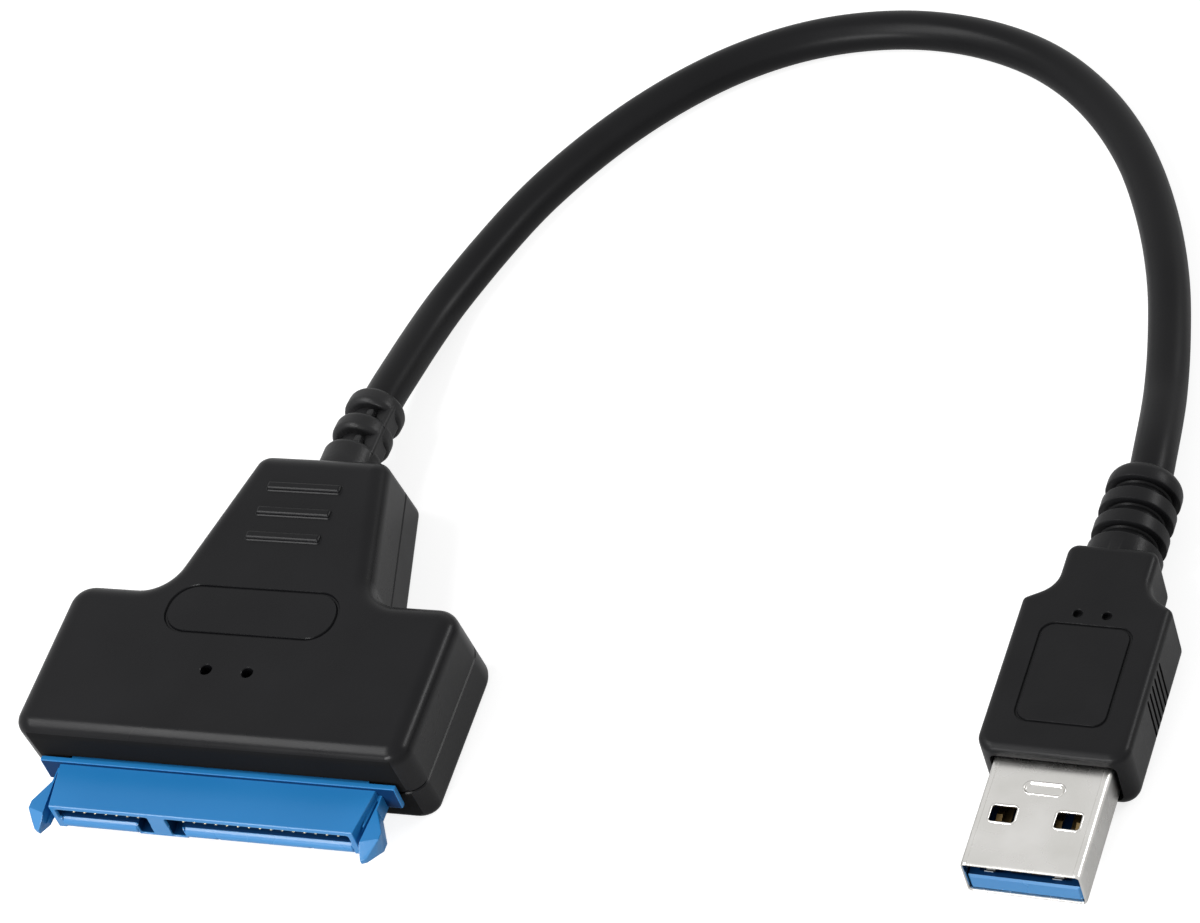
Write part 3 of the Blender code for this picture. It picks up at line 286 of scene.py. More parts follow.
def addGrain(material, scale, height, stretch=(1, 1, 1)):
    # A fine surface texture on Object coordinates, as a bump.
    tree = material.node_tree
    coords = shaderNode(tree, "ShaderNodeTexCoord")
    mapping = shaderNode(tree, "ShaderNodeMapping")
    mapping.inputs["Scale"].default_value = stretch
    noise = shaderNode(tree, "ShaderNodeTexNoise")
    noise.inputs["Scale"].default_value = scale
    noise.inputs["Detail"].default_value = 3.0
    bump = shaderNode(tree, "ShaderNodeBump")
    bump.inputs["Distance"].default_value = height * mm
    bump.inputs["Strength"].default_value = 1.0
    shader = tree.nodes["Principled BSDF"]
    tree.links.new(coords.outputs["Object"], mapping.inputs["Vector"])
    tree.links.new(mapping.outputs["Vector"], noise.inputs["Vector"])
    tree.links.new(noise.outputs["Fac"], bump.inputs["Height"])
    tree.links.new(bump.outputs["Normal"], shader.inputs["Normal"])


def addMottle(material, scale, dark, pale, glossy, dull):
    # Slow colour and gloss variation on Object coordinates, over the middle of the noise.
    middle = (0.3, 0.7)
    tree = material.node_tree
    coords = shaderNode(tree, "ShaderNodeTexCoord")
    noise = shaderNode(tree, "ShaderNodeTexNoise")
    noise.inputs["Scale"].default_value = scale
    noise.inputs["Detail"].default_value = 4.0
    ramp = shaderNode(tree, "ShaderNodeValToRGB")
    for stop, position, colour in zip(ramp.color_ramp.elements, middle, (dark, pale)):
        stop.position = position
        stop.color = (*colour, 1)
    spread = shaderNode(tree, "ShaderNodeMapRange")
    spread.inputs["From Min"].default_value = middle[0]
    spread.inputs["From Max"].default_value = middle[1]
    spread.inputs["To Min"].default_value = glossy
    spread.inputs["To Max"].default_value = dull
    shader = tree.nodes["Principled BSDF"]
    tree.links.new(coords.outputs["Object"], noise.inputs["Vector"])
    tree.links.new(noise.outputs["Fac"], ramp.inputs["Fac"])
    tree.links.new(ramp.outputs["Color"], shader.inputs["Base Color"])
    tree.links.new(noise.outputs["Fac"], spread.inputs["Value"])
    tree.links.new(spread.outputs["Result"], shader.inputs["Roughness"])


housingPlastic = newMaterial("housingPlastic", (0.0052, 0.0052, 0.0060), 0.28, specular=0.15)
addMottle(housingPlastic, 90, (0.0045, 0.0045, 0.0052), (0.0060, 0.0060, 0.0069), 0.24, 0.33)
addGrain(housingPlastic, 5200, 0.008)

gripPlastic = newMaterial("gripPlastic", (0.0068, 0.0068, 0.0074), 0.36, specular=0.14)
addMottle(gripPlastic, 120, (0.0058, 0.0058, 0.0064), (0.0080, 0.0080, 0.0087), 0.32, 0.41)
addGrain(gripPlastic, 4200, 0.012)

reliefRubber = newMaterial("reliefRubber", (0.0100, 0.0100, 0.0107), 0.36, specular=0.22)
addMottle(reliefRubber, 260, (0.0065, 0.0065, 0.0070), (0.0150, 0.0150, 0.0160), 0.30, 0.44)
addGrain(reliefRubber, 3000, 0.020)

cableJacket = newMaterial("cableJacket", (0.0060, 0.0060, 0.0066), 0.34, specular=0.12)
addMottle(cableJacket, 70, (0.0050, 0.0050, 0.0056), (0.0072, 0.0072, 0.0079), 0.30, 0.39)
addGrain(cableJacket, 2600, 0.008)

# A copy of the housing plastic for the faces that look forward. It is lighter and reflects almost nothing:
# painted light that stands in for how the front is lit, and keeps the blue connector's reflection off it.
housingFrontPaintedLight = newMaterial("housingFrontPaintedLight", (0.0095, 0.0095, 0.0098), 0.6, specular=0.02)
addMottle(housingFrontPaintedLight, 90, (0.0088, 0.0088, 0.0091), (0.0102, 0.0102, 0.0105), 0.55, 0.65)
addGrain(housingFrontPaintedLight, 5200, 0.012)

# A lighter and glossier copy of the blue for the front faces of the drive connector and of the plug's tongue:
# painted highlight.
blueWithPaintedLight = newMaterial("blueWithPaintedLight", (0.030, 0.195, 0.455), 0.25, specular=0.65)
addMottle(blueWithPaintedLight, 90, (0.026, 0.185, 0.440), (0.034, 0.205, 0.470), 0.21, 0.30)
addGrain(blueWithPaintedLight, 2400, 0.010)

# A dark navy copy of the blue for the insides of the connector's slots and for the tongue behind its front:
# painted shade.
blueWithPaintedShade = newMaterial("blueWithPaintedShade", (0.003, 0.028, 0.095), 0.45, specular=0.08)
addMottle(blueWithPaintedShade, 90, (0.002, 0.024, 0.085), (0.004, 0.032, 0.105), 0.40, 0.50)
addGrain(blueWithPaintedShade, 2400, 0.006)

bluePlastic = newMaterial("bluePlastic", (0.016, 0.172, 0.430), 0.30, specular=0.30)
addMottle(bluePlastic, 60, (0.014, 0.165, 0.417), (0.018, 0.179, 0.443), 0.27, 0.34)
addGrain(bluePlastic, 3600, 0.006)

shellSteel = newMaterial("shellSteel", (0.63, 0.62, 0.60), 0.26, metallic=1.0)
addMottle(shellSteel, 220, (0.60, 0.59, 0.565), (0.66, 0.65, 0.63), 0.22, 0.32)
addGrain(shellSteel, 900, 0.004, stretch=(6, 0.6, 1))

contactGold = newMaterial("contactGold", (0.80, 0.68, 0.45), 0.25, metallic=1.0)
addMottle(contactGold, 900, (0.76, 0.64, 0.42), (0.84, 0.72, 0.49), 0.20, 0.32)

# A dark copy of the gold for the plug's contacts inside the steel shell: painted shade.
goldWithPaintedShade = newMaterial("goldWithPaintedShade", (0.16, 0.11, 0.05), 0.45, metallic=1.0)
addMottle(goldWithPaintedShade, 900, (0.13, 0.09, 0.04), (0.19, 0.13, 0.06), 0.40, 0.52)

print("materials made")


# Camera and light

camera = {
    "location": (192.60, -229.10, 309.55),
    "right": (0.92254, 0.28277, -0.26260),
    "up": (-0.04598, 0.75618, 0.65275),
    "back": (0.38315, -0.59011, 0.71061),
    "lens": 119.51,
    "sensor": 36,
    "near": 0.01,
    "far": 20,
}
cameraData = bpy.data.cameras.new("camera")
cameraData.lens = camera["lens"]
cameraData.sensor_width = camera["sensor"]
cameraData.clip_start = camera["near"]
cameraData.clip_end = camera["far"]
cameraObject = newObject("camera", cameraData)
turn = Matrix((camera["right"], camera["up"], camera["back"])).transposed().to_4x4()
cameraObject.matrix_world = Matrix.Translation(Vector(camera["location"]) * mm) @ turn
bpy.context.scene.camera = cameraObject
bpy.context.scene.view_settings.view_transform = "Standard"

light = {
    "worldFill": 0.35,
    "floorHalf": 2500,
    "floorDrop": 0.02,
    "floorGrey": 0.50,
    "floorSeen": 0.78,
    "floorMirrored": 0.25,
    "boxes": {
        "key": {"at": (-200, -200, 400), "aim": (20, -10, 0), "size": (170, 460), "watts": 2.0},
        "back": {"at": (490, 300, 270), "aim": (40, 10, 0), "size": (100, 300), "watts": 1.0},
        "front": {"at": (-40, -540, 170), "aim": (40, -20, 0), "size": (260, 90), "watts": 1.8},
    },
}


def lightWorld():
    # The camera, mirrors and glass see white; the object gets the weaker fill.
    world = bpy.data.worlds.new("studio")
    bpy.context.scene.world = world
    world.use_nodes = True
    tree = world.node_tree
    tree.nodes.clear()
    path = shaderNode(tree, "ShaderNodeLightPath")
    seen = shaderNode(tree, "ShaderNodeMath", operation="MAXIMUM")
    seenToo = shaderNode(tree, "ShaderNodeMath", operation="MAXIMUM")
    fill = shaderNode(tree, "ShaderNodeBackground")
    fill.inputs["Color"].default_value = (1, 1, 1, 1)
    fill.inputs["Strength"].default_value = light["worldFill"]
    white = shaderNode(tree, "ShaderNodeBackground")
    white.inputs["Color"].default_value = (1, 1, 1, 1)
    white.inputs["Strength"].default_value = 1.0
    blend = shaderNode(tree, "ShaderNodeMixShader")
    output = shaderNode(tree, "ShaderNodeOutputWorld")
    tree.links.new(path.outputs["Is Camera Ray"], seen.inputs[0])
    tree.links.new(path.outputs["Is Glossy Ray"], seen.inputs[1])
    tree.links.new(seen.outputs[0], seenToo.inputs[0])
    tree.links.new(path.outputs["Is Transmission Ray"], seenToo.inputs[1])
    tree.links.new(seenToo.outputs[0], blend.inputs[0])
    tree.links.new(fill.outputs[0], blend.inputs[1])
    tree.links.new(white.outputs[0], blend.inputs[2])
    tree.links.new(blend.outputs[0], output.inputs["Surface"])


def softbox(name, spec):
    data = bpy.data.lights.new(name, "AREA")
    data.shape = "RECTANGLE"
    data.size = spec["size"][0] * mm
    data.size_y = spec["size"][1] * mm
    data.energy = spec["watts"]
    away = (Vector(spec["at"]) - Vector(spec["aim"])).normalized()
    across = Vector((0, 1, 0)).cross(away).normalized()
    turn = Matrix((across, away.cross(across), away)).transposed().to_4x4()
    lamp = newObject(name, data)
    lamp.matrix_world = Matrix.Translation(Vector(spec["at"]) * mm) @ turn


def floorPaper():
    # Grey paper for light and shadow, with a glow for the camera and mirrors that makes it white.
    material = bpy.data.materials.new("floorPaper")
    material.use_nodes = True
    tree = material.node_tree
    tree.nodes.clear()
    paper = shaderNode(tree, "ShaderNodeBsdfDiffuse")
    paper.inputs["Color"].default_value = (light["floorGrey"],) * 3 + (1,)
    path = shaderNode(tree, "ShaderNodeLightPath")
    seen = shaderNode(tree, "ShaderNodeMath", operation="MULTIPLY")
    seen.inputs[1].default_value = light["floorSeen"]
    mirrored = shaderNode(tree, "ShaderNodeMath", operation="MULTIPLY_ADD")
    mirrored.inputs[1].default_value = light["floorMirrored"]
    glow = shaderNode(tree, "ShaderNodeEmission")
    both = shaderNode(tree, "ShaderNodeAddShader")
    output = shaderNode(tree, "ShaderNodeOutputMaterial")
    tree.links.new(path.outputs["Is Camera Ray"], seen.inputs[0])
    tree.links.new(path.outputs["Is Glossy Ray"], mirrored.inputs[0])
    tree.links.new(seen.outputs[0], mirrored.inputs[2])
    tree.links.new(mirrored.outputs[0], glow.inputs["Strength"])
    tree.links.new(paper.outputs[0], both.inputs[0])
    tree.links.new(glow.outputs[0], both.inputs[1])
    tree.links.new(both.outputs[0], output.inputs["Surface"])
    return material


lightWorld()
for name, spec in light["boxes"].items():
    softbox(name + "Softbox", spec)
bm = bmesh.new()
bmesh.ops.create_grid(bm, x_segments=1, y_segments=1, size=light["floorHalf"])
floor = meshFrom("floor", bm)
floor.data.transform(Matrix.Translation((0, 0, -light["floorDrop"] * mm)))
floor.data.materials.append(floorPaper())
print("camera, light and floor made")


# Cable

cable = {
    "diameter": 4.6,
    "hidden": 3.32,  # inside the two strain reliefs
    "pieces": 190,
    "stepsBetween": 16,
    "smoothings": 12,
    "route": (
        (0, 28.4, 5.41),
        (0, 30, 5.18),
        (0, 32.4, 4.81),
        (0.1, 35, 4.38),
        (0.2, 37.5, 3.94),
        (0.3, 40.1, 3.48),
        (0.5, 43.1, 2.98),
        (0.9, 46.5, 2.56),
        (1.7, 50, 2.4),
        (3.8, 56.6, 2.4),
        (6.7, 64.2, 2.4),
        (10.5, 71.3, 2.4),
        (15, 77.8, 2.4),
        (20.2, 83.5, 2.4),
        (26.1, 88.2, 2.4),
        (32.8, 91.6, 2.4),
        (40.1, 93.4, 2.4),
        (47.9, 93.6, 2.4),
        (56, 91.9, 2.4),
        (63.8, 88.1, 2.4),
        (70.9, 81.8, 2.4),
        (76.7, 73.7, 2.4),
        (81.1, 64.4, 2.4),
        (84.2, 55, 2.4),
        (86.1, 46, 2.4),
        (87.1, 39.5, 2.5),
        (87.7, 35, 3.2),
        (88.1, 31.2, 3.8),
        (88.3, 28.6, 4),
        (88.4, 26.8, 4),
        (88.34, 25.1, 4),
    ),
}


def smoothRoute(points, count):
    # Evenly spaced points on a smooth line through the route, and the line's length.
    route = [Vector(p) for p in points]
    route = [route[0] * 2 - route[1]] + route + [route[-1] * 2 - route[-2]]
    fine = []
    for a, b, c, d in zip(route, route[1:], route[2:], route[3:]):
        for k in range(cable["stepsBetween"]):
            t = k / cable["stepsBetween"]
            square = (2 * a - 5 * b + 4 * c - d) * t**2
            cube = (3 * b - a - 3 * c + d) * t**3
            fine.append(0.5 * (2 * b + (c - a) * t + square + cube))
    fine.append(route[-2])
    for _ in range(cable["smoothings"]):
        inner = [(a + 2 * b + c) / 4 for a, b, c in zip(fine, fine[1:], fine[2:])]
        fine = [fine[0]] + inner + [fine[-1]]
    lengths = [0.0]
    for a, b in zip(fine, fine[1:]):
        lengths.append(lengths[-1] + (b - a).length)
    picked = []
    k = 0
    for i in range(count):
        target = lengths[-1] * i / (count - 1)
        while k < len(lengths) - 2 and lengths[k + 1] < target:
            k += 1
        share = (target - lengths[k]) / (lengths[k + 1] - lengths[k])
        picked.append(fine[k].lerp(fine[k + 1], share))
    return picked, lengths[-1]


cablePoints, cableLength = smoothRoute(cable["route"], cable["pieces"])
curve = bpy.data.curves.new("cableJacket", "CURVE")
curve.dimensions = "3D"
spline = curve.splines.new("POLY")
spline.points.add(len(cablePoints) - 1)
for knot, point in zip(spline.points, cablePoints):
    knot.co = (*(point * mm), 1)
curve.bevel_depth = cable["diameter"] / 2 * mm
curve.bevel_resolution = 8
curve.use_fill_caps = True
cableJacketPiece = newObject("cableJacket", curve)
curve.materials.append(cableJacket)
print("cable made:", round(cableLength, 1), "mm")


# Housing: two shells on one T-shaped outline

housing = {
    "width": 45.6,
    "height": 12.0,
    "frontY": -22.0,
    "wideBackY": -2.2,
    "backY": 17.0,
    "neckFront": 24.2,
    "neckBack": 15.4,
    "cornerRadius": 2.3,
    "backRadius": 2.6,
    "neckFillet": 4.2,
    "neckCorner": 1.8,
    "topFillet": 1.8,
    "baseFillet": 1.0,
    "filletStrip": 0.3,
    "wall": 1.5,
    "innerEdge": 0.4,
    "sunk": 0.5,
    "partingZ": 5.2,
    "seamGap": 0.16,
    "seamChamfer": 0.14,
    "frontLean": 1.1,
    "backLean": 2.8,
    "shoulderLean": 1.8,
    "shoulderBlend": 0.6,
    "leanDepth": 6.0,
    "opening": {"z": 4.9, "width": 34.6, "height": 3.6, "radius": 0.3, "depth": 4.5},
    "reliefHole": {"z": 6.0, "radius": 2.8, "depth": 3.0, "past": 1.5},
    "wireWay": {"z": 4.5, "width": 5.6, "height": 3.0},
}
marks = {
    "shiftX": -0.45,
    "barLength": 8.8,
    "barWidth": 1.05,
    "barHeight": 0.42,
    "barY": 5.3,
    "barCount": 3,
    "barPitch": 3.45,
    "barCorner": 0.25,
    "barRoot": 0.4,
    "barFoot": (0.12, 0.08),
    "barRound": 0.32,
    "panel": (20.2, 6.6),
    "panelY": -4.9,
    "panelRadius": 3.1,
    "line": {"width": 0.42, "depth": 0.22, "slant": 0.12},
    "ledDiameter": 1.3,
    "ledPitch": 4.8,
    "ledY": -12.7,
    "ledFlare": 0.09,
}
pins = {
    "diameter": 1.8,
    "reach": 3.0,
    "socketWall": 0.9,
    "places": ((-19.4, -5.2), (19.4, -5.2), (-6.5, 4.2), (6.5, 4.2)),
}
pads = {
    "size": 2.0,
    "radius": 0.2,
    "places": ((-15, -14.1), (15, -14.1), (-15, -5.3), (15, -5.3)),
    "boardBottom": 4.3,
    "boardTop": 5.3,
}
gap = 0.3


def housingOutline():
    half = housing["width"] / 2
    right = [
        (half, housing["frontY"], housing["cornerRadius"]),
        (half, housing["wideBackY"], housing["backRadius"]),
        (housing["neckFront"] / 2, housing["wideBackY"], housing["neckFillet"]),
        (housing["neckBack"] / 2, housing["backY"], housing["neckCorner"]),
    ]
    return right + [(-x, y, r) for x, y, r in reversed(right)]


def clamped(value):
    return min(max(0.0, value), 1.0)


def leanFaces(point):
    # Front, back and shoulders all lean towards the back as they come down.
    depth = housing["leanDepth"]
    drop = 1 - point.z / housing["height"]
    front = clamped(1 - (point.y - housing["frontY"]) / depth)
    back = clamped(1 - (housing["backY"] - housing["wall"] - point.y) / depth)
    shift = housing["backLean"] * drop * back
    taper = (housing["neckFront"] - housing["neckBack"]) / 2 / (housing["backY"] - housing["wideBackY"])
    fromNeck = abs(point.x) - housing["neckFront"] / 2 + housing["shoulderBlend"]
    beside = clamped(fromNeck / housing["neckFillet"])
    beside *= beside * (3 - 2 * beside)
    shoulder = clamped(1 - (housing["wideBackY"] - point.y) / depth)
    point.x *= 1 - shift * taper / (housing["neckBack"] / 2)
    point.y += drop * (housing["frontLean"] * front + housing["shoulderLean"] * beside * shoulder) + shift
    return point


def prismXY(name, corners, low, high, steps=6):
    return loft(name, upright(corners, [(0, low), (0, high)], steps))


def roundRod(name, x, y, diameter, low, high, steps=32, flare=0.0):
    radius = diameter / 2
    rings = [(radius, low), (radius, high)]
    if flare:
        rings = [(radius, low), (radius, high - 2 * flare), (radius + 2 * flare, high)]
    turn = [2 * math.pi * k / steps for k in range(steps)]
    return loft(name, [
        [Vector((x + r * math.cos(a), y + r * math.sin(a), z)) for a in turn] for r, z in rings
    ])


def cutOpenings(shell, upper):
    opening, hole, way = housing["opening"], housing["reliefHole"], housing["wireWay"]
    mouthRect = rectangle(
        0, opening["z"], opening["width"] + 2 * gap, opening["height"] + 2 * gap, opening["radius"])
    span = [(0, housing["frontY"] - 2 * beyond), (0, housing["frontY"] + opening["depth"])]
    combine(shell, loft("opening", lengthwise(mouthRect, span)))
    start = housing["backY"] - hole["depth"]
    end = housing["backY"] + housing["backLean"] + hole["past"]
    rod = [(hole["radius"], start), (hole["radius"], end)]
    combine(shell, turned("reliefHole", rod, (0, 0, hole["z"]), 48))
    if upper:
        wayRect = rectangle(0, way["z"], way["width"], way["height"], sharpRadius)
        combine(shell, loft("wireWay", lengthwise(wayRect, [(0, start), (0, end)], 2)))


def cutPanelLine(thing, panel, z, line, steps):
    # A groove all round a panel's outline, with slanting sides.
    width, depth, slant = line["width"], line["depth"], line["slant"]
    profile = [(-slant, z + slant), (0.0, z), (slant, z - depth)]
    profile += [(width - slant, z - depth), (width, z), (width + slant, z + slant)]
    combine(thing, loft("panelLine", upright(panel, profile, steps), closed=True))


outline = housingOutline()
wall, chamfer, strip = housing["wall"], housing["seamChamfer"], housing["filletStrip"]
top = housing["height"]
roof = top - wall
seamTop = housing["partingZ"] + housing["seamGap"] / 2
seamBase = housing["partingZ"] - housing["seamGap"] / 2

edge = housing["topFillet"]
profile = [(wall + housing["innerEdge"], roof), (wall, roof - housing["innerEdge"]), (wall, seamTop)]
profile += [(chamfer, seamTop), (0.0, seamTop + chamfer), (0.0, seamTop + 3 * chamfer)]
profile += [(0.0, top - edge - strip)]
profile += fillet(0.0, top - edge, edge, top, 8)
profile += [(edge + strip, top)]
housingTop = loft("housingTop", upright(outline, profile, 12, leanFaces))
for x, y in pads["places"]:
    padRect = rectangle(x, y, pads["size"], pads["size"], pads["radius"])
    pad = prismXY("pad", padRect, pads["boardTop"] + gap, roof + housing["sunk"], 3)
    combine(housingTop, pad, "UNION")
for x, y in pins["places"]:
    bore = pins["diameter"] + 2 * gap
    boss = roundRod("boss", x, y, bore + 2 * pins["socketWall"], seamTop, roof + housing["sunk"])
    combine(housingTop, boss, "UNION")
    boreTop = housing["partingZ"] + pins["reach"] + gap
    combine(housingTop, roundRod("bore", x, y, bore, seamTop - beyond, boreTop))
spread, foot = marks["barFoot"]
barRect = rectangle(
    marks["shiftX"], marks["barY"], marks["barLength"], marks["barWidth"], marks["barCorner"])
rise = [(-spread, top - marks["barRoot"]), (-spread, top), (0.0, top + foot)]
rise += fillet(0.0, top + foot, marks["barRound"], top + marks["barHeight"], 6)
bar = loft("bars", upright(barRect, rise, 4))
bars = repeat(bar, marks["barCount"], (0, marks["barPitch"], 0), housingPlastic)
combine(housingTop, bars, "UNION")
panel = rectangle(marks["shiftX"], marks["panelY"], *marks["panel"], marks["panelRadius"])
cutPanelLine(housingTop, panel, top, marks["line"], 14)
for side in (-1, 1):
    x = marks["shiftX"] + side * marks["ledPitch"] / 2
    ledSpan = (roof - beyond, top + 0.1)
    hole = roundRod("ledHole", x, marks["ledY"], marks["ledDiameter"], *ledSpan, flare=marks["ledFlare"])
    combine(housingTop, hole)
cutOpenings(housingTop, True)
smooth(housingTop)
# Faces that look forward get the lighter, barely reflecting copy of the plastic: painted light.
frontFace = (housingFrontPaintedLight, lambda place, normal: normal.y < -0.95 and place.y < housing["frontY"] + 2)
dress(housingTop, housingPlastic, frontFace)

edge = housing["baseFillet"]
profile = [(wall + housing["innerEdge"], wall), (wall, wall + housing["innerEdge"]), (wall, seamBase)]
profile += [(chamfer, seamBase), (0.0, seamBase - chamfer), (0.0, seamBase - 3 * chamfer)]
profile += [(0.0, edge + strip)]
profile += fillet(0.0, edge, edge, 0.0, 8)
profile += [(edge + strip, 0.0)]
housingBase = loft("housingBase", upright(outline, profile, 12, leanFaces))
footZ = wall - housing["sunk"]
for x, y in pads["places"]:
    padRect = rectangle(x, y, pads["size"], pads["size"], pads["radius"])
    combine(housingBase, prismXY("pad", padRect, footZ, pads["boardBottom"] - gap, 3), "UNION")
for x, y in pins["places"]:
    pin = roundRod("pin", x, y, pins["diameter"], footZ, housing["partingZ"] + pins["reach"])
    combine(housingBase, pin, "UNION")
cutOpenings(housingBase, False)
smooth(housingBase)
dress(housingBase, housingPlastic, frontFace)
print("housing made")


# Blue drive connector

connector = {
    "mouthY": -27.9,
    "backY": -17.4,
    "top": 6.7,
    "bottom": 3.1,
    "topEdge": 0.18,
    "bottomEdge": 0.15,
    "frontHalf": 17.6,
    "frontRadius": 0.15,
    "backHalf": 18.45,
    "backRadius": 0.1,
    "tailHalf": 17.3,
    "tailGap": 0.2,
    "flangeY": (-22.46, -21.86),
    "flange": ((-20.6, 7.15), (20.6, 7.15), (20.6, 4.0), (-20.6, 4.0)),
    "intoFlange": 0.3,
    "softEdge": 0.10,
    "slots": (((-16.9, -6.2), 1), ((-4.0, 16.9), -1)),
    "slotFloor": 4.75,
    "slotTop": 6.1,
    "slotDepth": 4.8,
    "slotRadius": 0.12,
    "slotMouth": ((-0.45, -0.6), (-0.16, -0.02), (0.0, 0.25)),
    "foot": 1.5,
    "footFloor": 3.45,
    "footMouth": ((-0.10, -0.6), (-0.10, -0.02), (0.0, 0.15)),
    "windows": {"spans": ((-15.71, -7.39), (-2.84, 15.74)), "z": 5.7, "height": 0.8, "start": 2.4},
    "lips": {"spans": ((-16.7, -7.9), (-2.3, 16.9)), "radius": 0.78, "round": 0.1, "axis": 0.6},
    "lipRoom": {"height": 1.8, "depth": 0.55},
    "notches": {"xs": (1.4, 12.1), "diameter": 0.5, "depth": 0.1, "bottom": 3.0, "top": 3.9},
}
ears = {
    "top": 5.95,
    "bottom": 3.8,
    "tipTop": 4.9,
    "tipBottom": 4.3,
    "armXs": (18.0, 18.9),
    "armStart": 1.5,
    "head": ((18.1, 1.8), (18.2, -0.4), (20.3, 0.2), (20.3, 1.1), (18.9, 3.8)),
    "tip": ((18.6, -1.95), (19.2, -1.7), (19.95, -0.7)),
    "grooveFront": (17.95, 18.3),
    "grooveBack": (18.5, 18.75),
    "grooveEnd": 0.6,
    "grooveZ": (4.6, 8.0),
}
contacts = {
    "first": (-15.36, -2.44),
    "count": (7, 15),
    "pitch": 1.27,
    "z": 5.15,
    "width": 0.42,
    "height": 0.34,
    "radius": 0.1,
    "nose": ((0.12, 0.6), (0.0, 0.8), (0.0, 2.3), (0.05, 2.5)),
}
mouth, flangeFront = connector["mouthY"], connector["flangeY"][0]
bottomZ, topZ = connector["bottom"], connector["top"]
joint = flangeFront + connector["intoFlange"]
blockOutline = [
    (-connector["frontHalf"], mouth, connector["frontRadius"]),
    (connector["frontHalf"], mouth, connector["frontRadius"]),
    (connector["backHalf"], joint, connector["backRadius"]),
    (-connector["backHalf"], joint, connector["backRadius"]),
]
under, over = connector["bottomEdge"], connector["topEdge"]
profile = [(under, bottomZ), (0.0, bottomZ + under)]
profile += [(0.0, topZ - over), (over / 3, topZ - over / 3), (over, topZ)]
driveConnector = loft("driveConnector", upright(blockOutline, profile, 3))
flange = loft("flange", [[Vector((x, y, z)) for x, z in connector["flange"]] for y in connector["flangeY"]])
soften(flange, connector["softEdge"])
combine(driveConnector, flange, "UNION")
tailLength = connector["backY"] - flangeFront - connector["tailGap"]
tailMiddle = (flangeFront + connector["backY"]) / 2
tailRect = rectangle(0, tailMiddle, 2 * connector["tailHalf"], tailLength, connector["backRadius"])
combine(driveConnector, prismXY("tail", tailRect, bottomZ, topZ, 2), "UNION")
for side in (-1, 1):
    full, thin = (ears["bottom"], ears["top"]), (ears["tipBottom"], ears["tipTop"])
    arm = [(x, y, z) for y in (mouth + ears["armStart"], joint) for x in ears["armXs"] for z in full]
    head = [(x, mouth + y, z) for x, y in ears["head"] for z in full]
    tip = [(x, mouth + y, z) for x, y in ears["tip"] for z in thin]
    for points in (arm, head + tip):
        part = hull("ear", [Vector((side * x, y, z)) for x, y, z in points])
        soften(part, connector["softEdge"])
        combine(driveConnector, part, "UNION")
    near = sorted(side * x for x in ears["grooveFront"])
    far = sorted(side * x for x in ears["grooveBack"])
    start, end = mouth - beyond, flangeFront - ears["grooveEnd"]
    groove = [(near[0], start, sharpRadius), (near[1], start, sharpRadius)]
    groove += [(far[1], end, sharpRadius), (far[0], end, sharpRadius)]
    combine(driveConnector, prismXY("earGroove", groove, *ears["grooveZ"], 2))
for (left, right), footSide in connector["slots"]:
    middle = (connector["slotFloor"] + connector["slotTop"]) / 2
    height = connector["slotTop"] - connector["slotFloor"]
    slotRect = rectangle((left + right) / 2, middle, right - left, height, connector["slotRadius"])
    slotRun = [(inset, mouth + y) for inset, y in connector["slotMouth"]]
    slotRun += [(0.0, mouth + connector["slotDepth"])]
    combine(driveConnector, loft("slot", lengthwise(slotRect, slotRun, 3)))
    footX = right - connector["foot"] / 2 if footSide > 0 else left + connector["foot"] / 2
    middle = (connector["footFloor"] + connector["slotTop"]) / 2
    height = connector["slotTop"] - connector["footFloor"]
    footRect = rectangle(footX, middle, connector["foot"], height, connector["slotRadius"])
    footRun = [(inset, mouth + y) for inset, y in connector["footMouth"]]
    footRun += [(0.0, mouth + connector["slotDepth"])]
    combine(driveConnector, loft("foot", lengthwise(footRect, footRun, 3)))
windows = connector["windows"]
for left, right in windows["spans"]:
    windowRect = rectangle((left + right) / 2, windows["z"], right - left, windows["height"], sharpRadius)
    windowRun = [(0, mouth + windows["start"]), (0, connector["backY"] + beyond)]
    combine(driveConnector, loft("contactWindow", lengthwise(windowRect, windowRun, 2)))
lips, room = connector["lips"], connector["lipRoom"]
lipZ = (bottomZ + connector["slotFloor"]) / 2
for left, right in lips["spans"]:
    roomRect = rectangle((left + right) / 2, lipZ, right - left, room["height"], sharpRadius)
    roomRun = [(0, mouth - beyond), (0, mouth + room["depth"])]
    combine(driveConnector, loft("lipRoom", lengthwise(roomRect, roomRun, 1)))
    radius, ease = lips["radius"], lips["round"]
    rod = [(radius - ease, left), (radius, left + ease), (radius, right - ease), (radius - ease, right)]
    lip = turned("lip", rod, steps=40)
    lip.data.transform(Matrix.Rotation(math.radians(-90), 4, "Z"))
    lip.data.transform(Matrix.Translation(Vector((0, mouth + lips["axis"], lipZ)) * mm))
    combine(driveConnector, lip, "UNION")
notches = connector["notches"]
for x in notches["xs"]:
    combine(driveConnector, roundRod(
        "notch", x, mouth - notches["depth"], notches["diameter"], notches["bottom"], notches["top"], 12))
smooth(driveConnector)


def inSlot(place, normal):
    # The slots' inner faces, a little behind the mouth, which get painted shade.
    within = connector["footFloor"] - 0.1 < place.z < connector["slotTop"] + 0.05
    return within and abs(place.x) < 16.95 and place.y > mouth + 0.35


